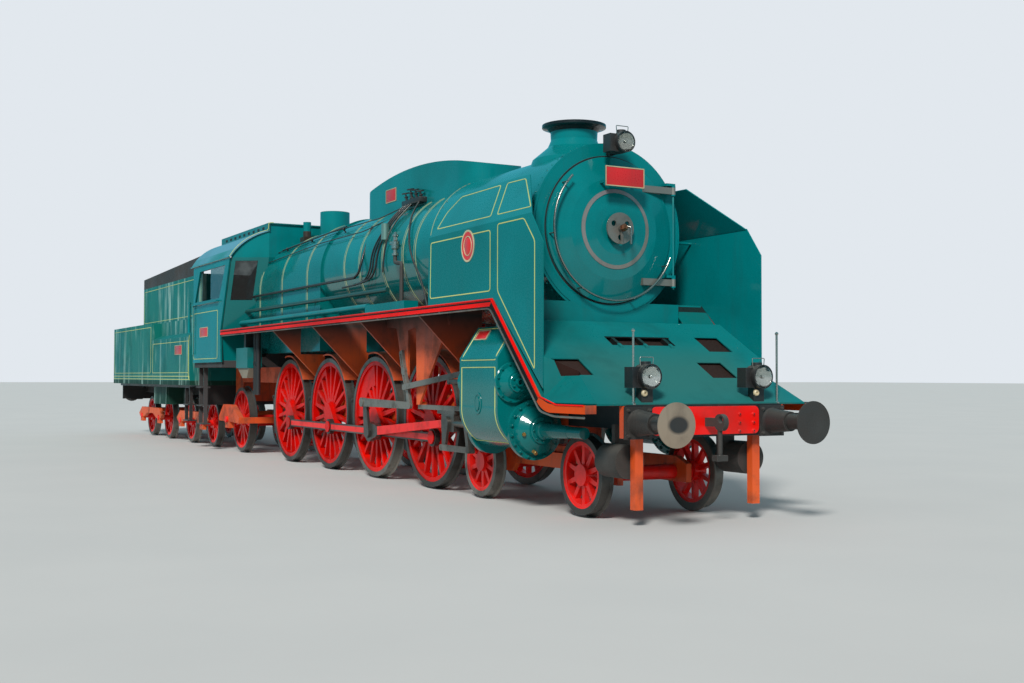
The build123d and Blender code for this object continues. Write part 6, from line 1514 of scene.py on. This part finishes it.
# %% Tender post, corner line and cab handrails
post = turned("tender_post", [(2.47, 0), (2.47, 0.036), (2.49, 0.03), (3.08, 0.028), (3.1, 0.036),
                              (3.13, 0.036), (3.13, 0)], 20)
dress(twin(aimed(post, (-3.96, -1.47, 0), (0, 0, 1))), green, "tender")
corner_route = on_side([(-3.8, 2.42), (-3.88, 2.3), (-3.88, 1.62), (-3.84, 1.5), (-3.76, 1.47)], PLATE_FACE)
dress(twin(tube("tender_corner_line", corner_route, 0.007, 1)), lining_paint, "tender")
CAB_RAIL = (-3.40, -1.53)
cab_rails = [tube("cab_rail", [(*CAB_RAIL, 2.0), (*CAB_RAIL, 3.05)], 0.013)]
for z in (2.03, 3.02):
    foot_route = [(*CAB_RAIL, z), (CAB_RAIL[0] - 0.01, CAB_RAIL[1] + 0.04, z)]
    cab_rails.append(tube("rail_foot", foot_route, 0.012, 2))
dress(twin(join(cab_rails, "cab_handrails")), pale_green)
print("cab and tender trimmed")

# %% [markdown]
# ## Studio
# A pale floor, one large soft sun from the engine's right and an even sky fill. The world shows a pale colour
# to the camera and through glass and a blue-green one to mirrors, and lights the metal at a lower strength,
# so that no white clips.

# %% Floor, sun and world
deselect()
bpy.ops.mesh.primitive_plane_add(size=600, location=(0, 0, 0))
floor = bpy.context.active_object
floor.name = "floor"
floor_paint, floor_tree, floor_sockets = new_material("studio_floor")
floor_cloud = noise(floor_tree, own_place(floor_tree), 0.4, 5.0)
floor_tone = blend_colour(floor_tree, floor_cloud, tint(196, 196, 194), tint(206, 205, 202))
feed(floor_tree, floor_sockets["Base Color"], floor_tone)
feed(floor_tree, floor_sockets["Roughness"], 0.9)
floor.data.materials.append(floor_paint)

SUN_STRENGTH = 3.4
FILL_STRENGTH = 0.38
MIRROR_STRENGTH = 1.0
sun_data = bpy.data.lights.new("sun", "SUN")
sun_data.energy = SUN_STRENGTH
sun_data.angle = radians(12)
sun_data.color = (1.0, 0.975, 0.94)
sun = bpy.data.objects.new("sun", sun_data)
bpy.context.scene.collection.objects.link(sun)
sun.rotation_euler = Vector((0.6, -0.52, 0.6)).to_track_quat("Z", "Y").to_euler()

world = bpy.data.worlds.new("studio")
bpy.context.scene.world = world
world.use_nodes = True
sky_tree = world.node_tree
backdrop = sky_tree.nodes["Background"].inputs
SKY_FILL = (0.80, 0.92, 1.0, 1.0)
SKY_MIRRORED = (0.08, 0.42, 0.56, 1.0)
SKY_SEEN = tint(226, 232, 238)
rays = add_node(sky_tree, "ShaderNodeLightPath").outputs
seen = maths(sky_tree, "ADD", rays["Is Camera Ray"], rays["Is Transmission Ray"], True)
mirrored = rays["Is Glossy Ray"]
strength = blend_value(sky_tree, mirrored, FILL_STRENGTH, MIRROR_STRENGTH)
feed(sky_tree, backdrop["Strength"], blend_value(sky_tree, seen, strength, 1.0))
sky_colour = blend_colour(sky_tree, mirrored, SKY_FILL, SKY_MIRRORED)
feed(sky_tree, backdrop["Color"], blend_colour(sky_tree, seen, sky_colour, SKY_SEEN))
print("studio lit")

# %% Count of the pieces made
print("pieces made:", len(made))
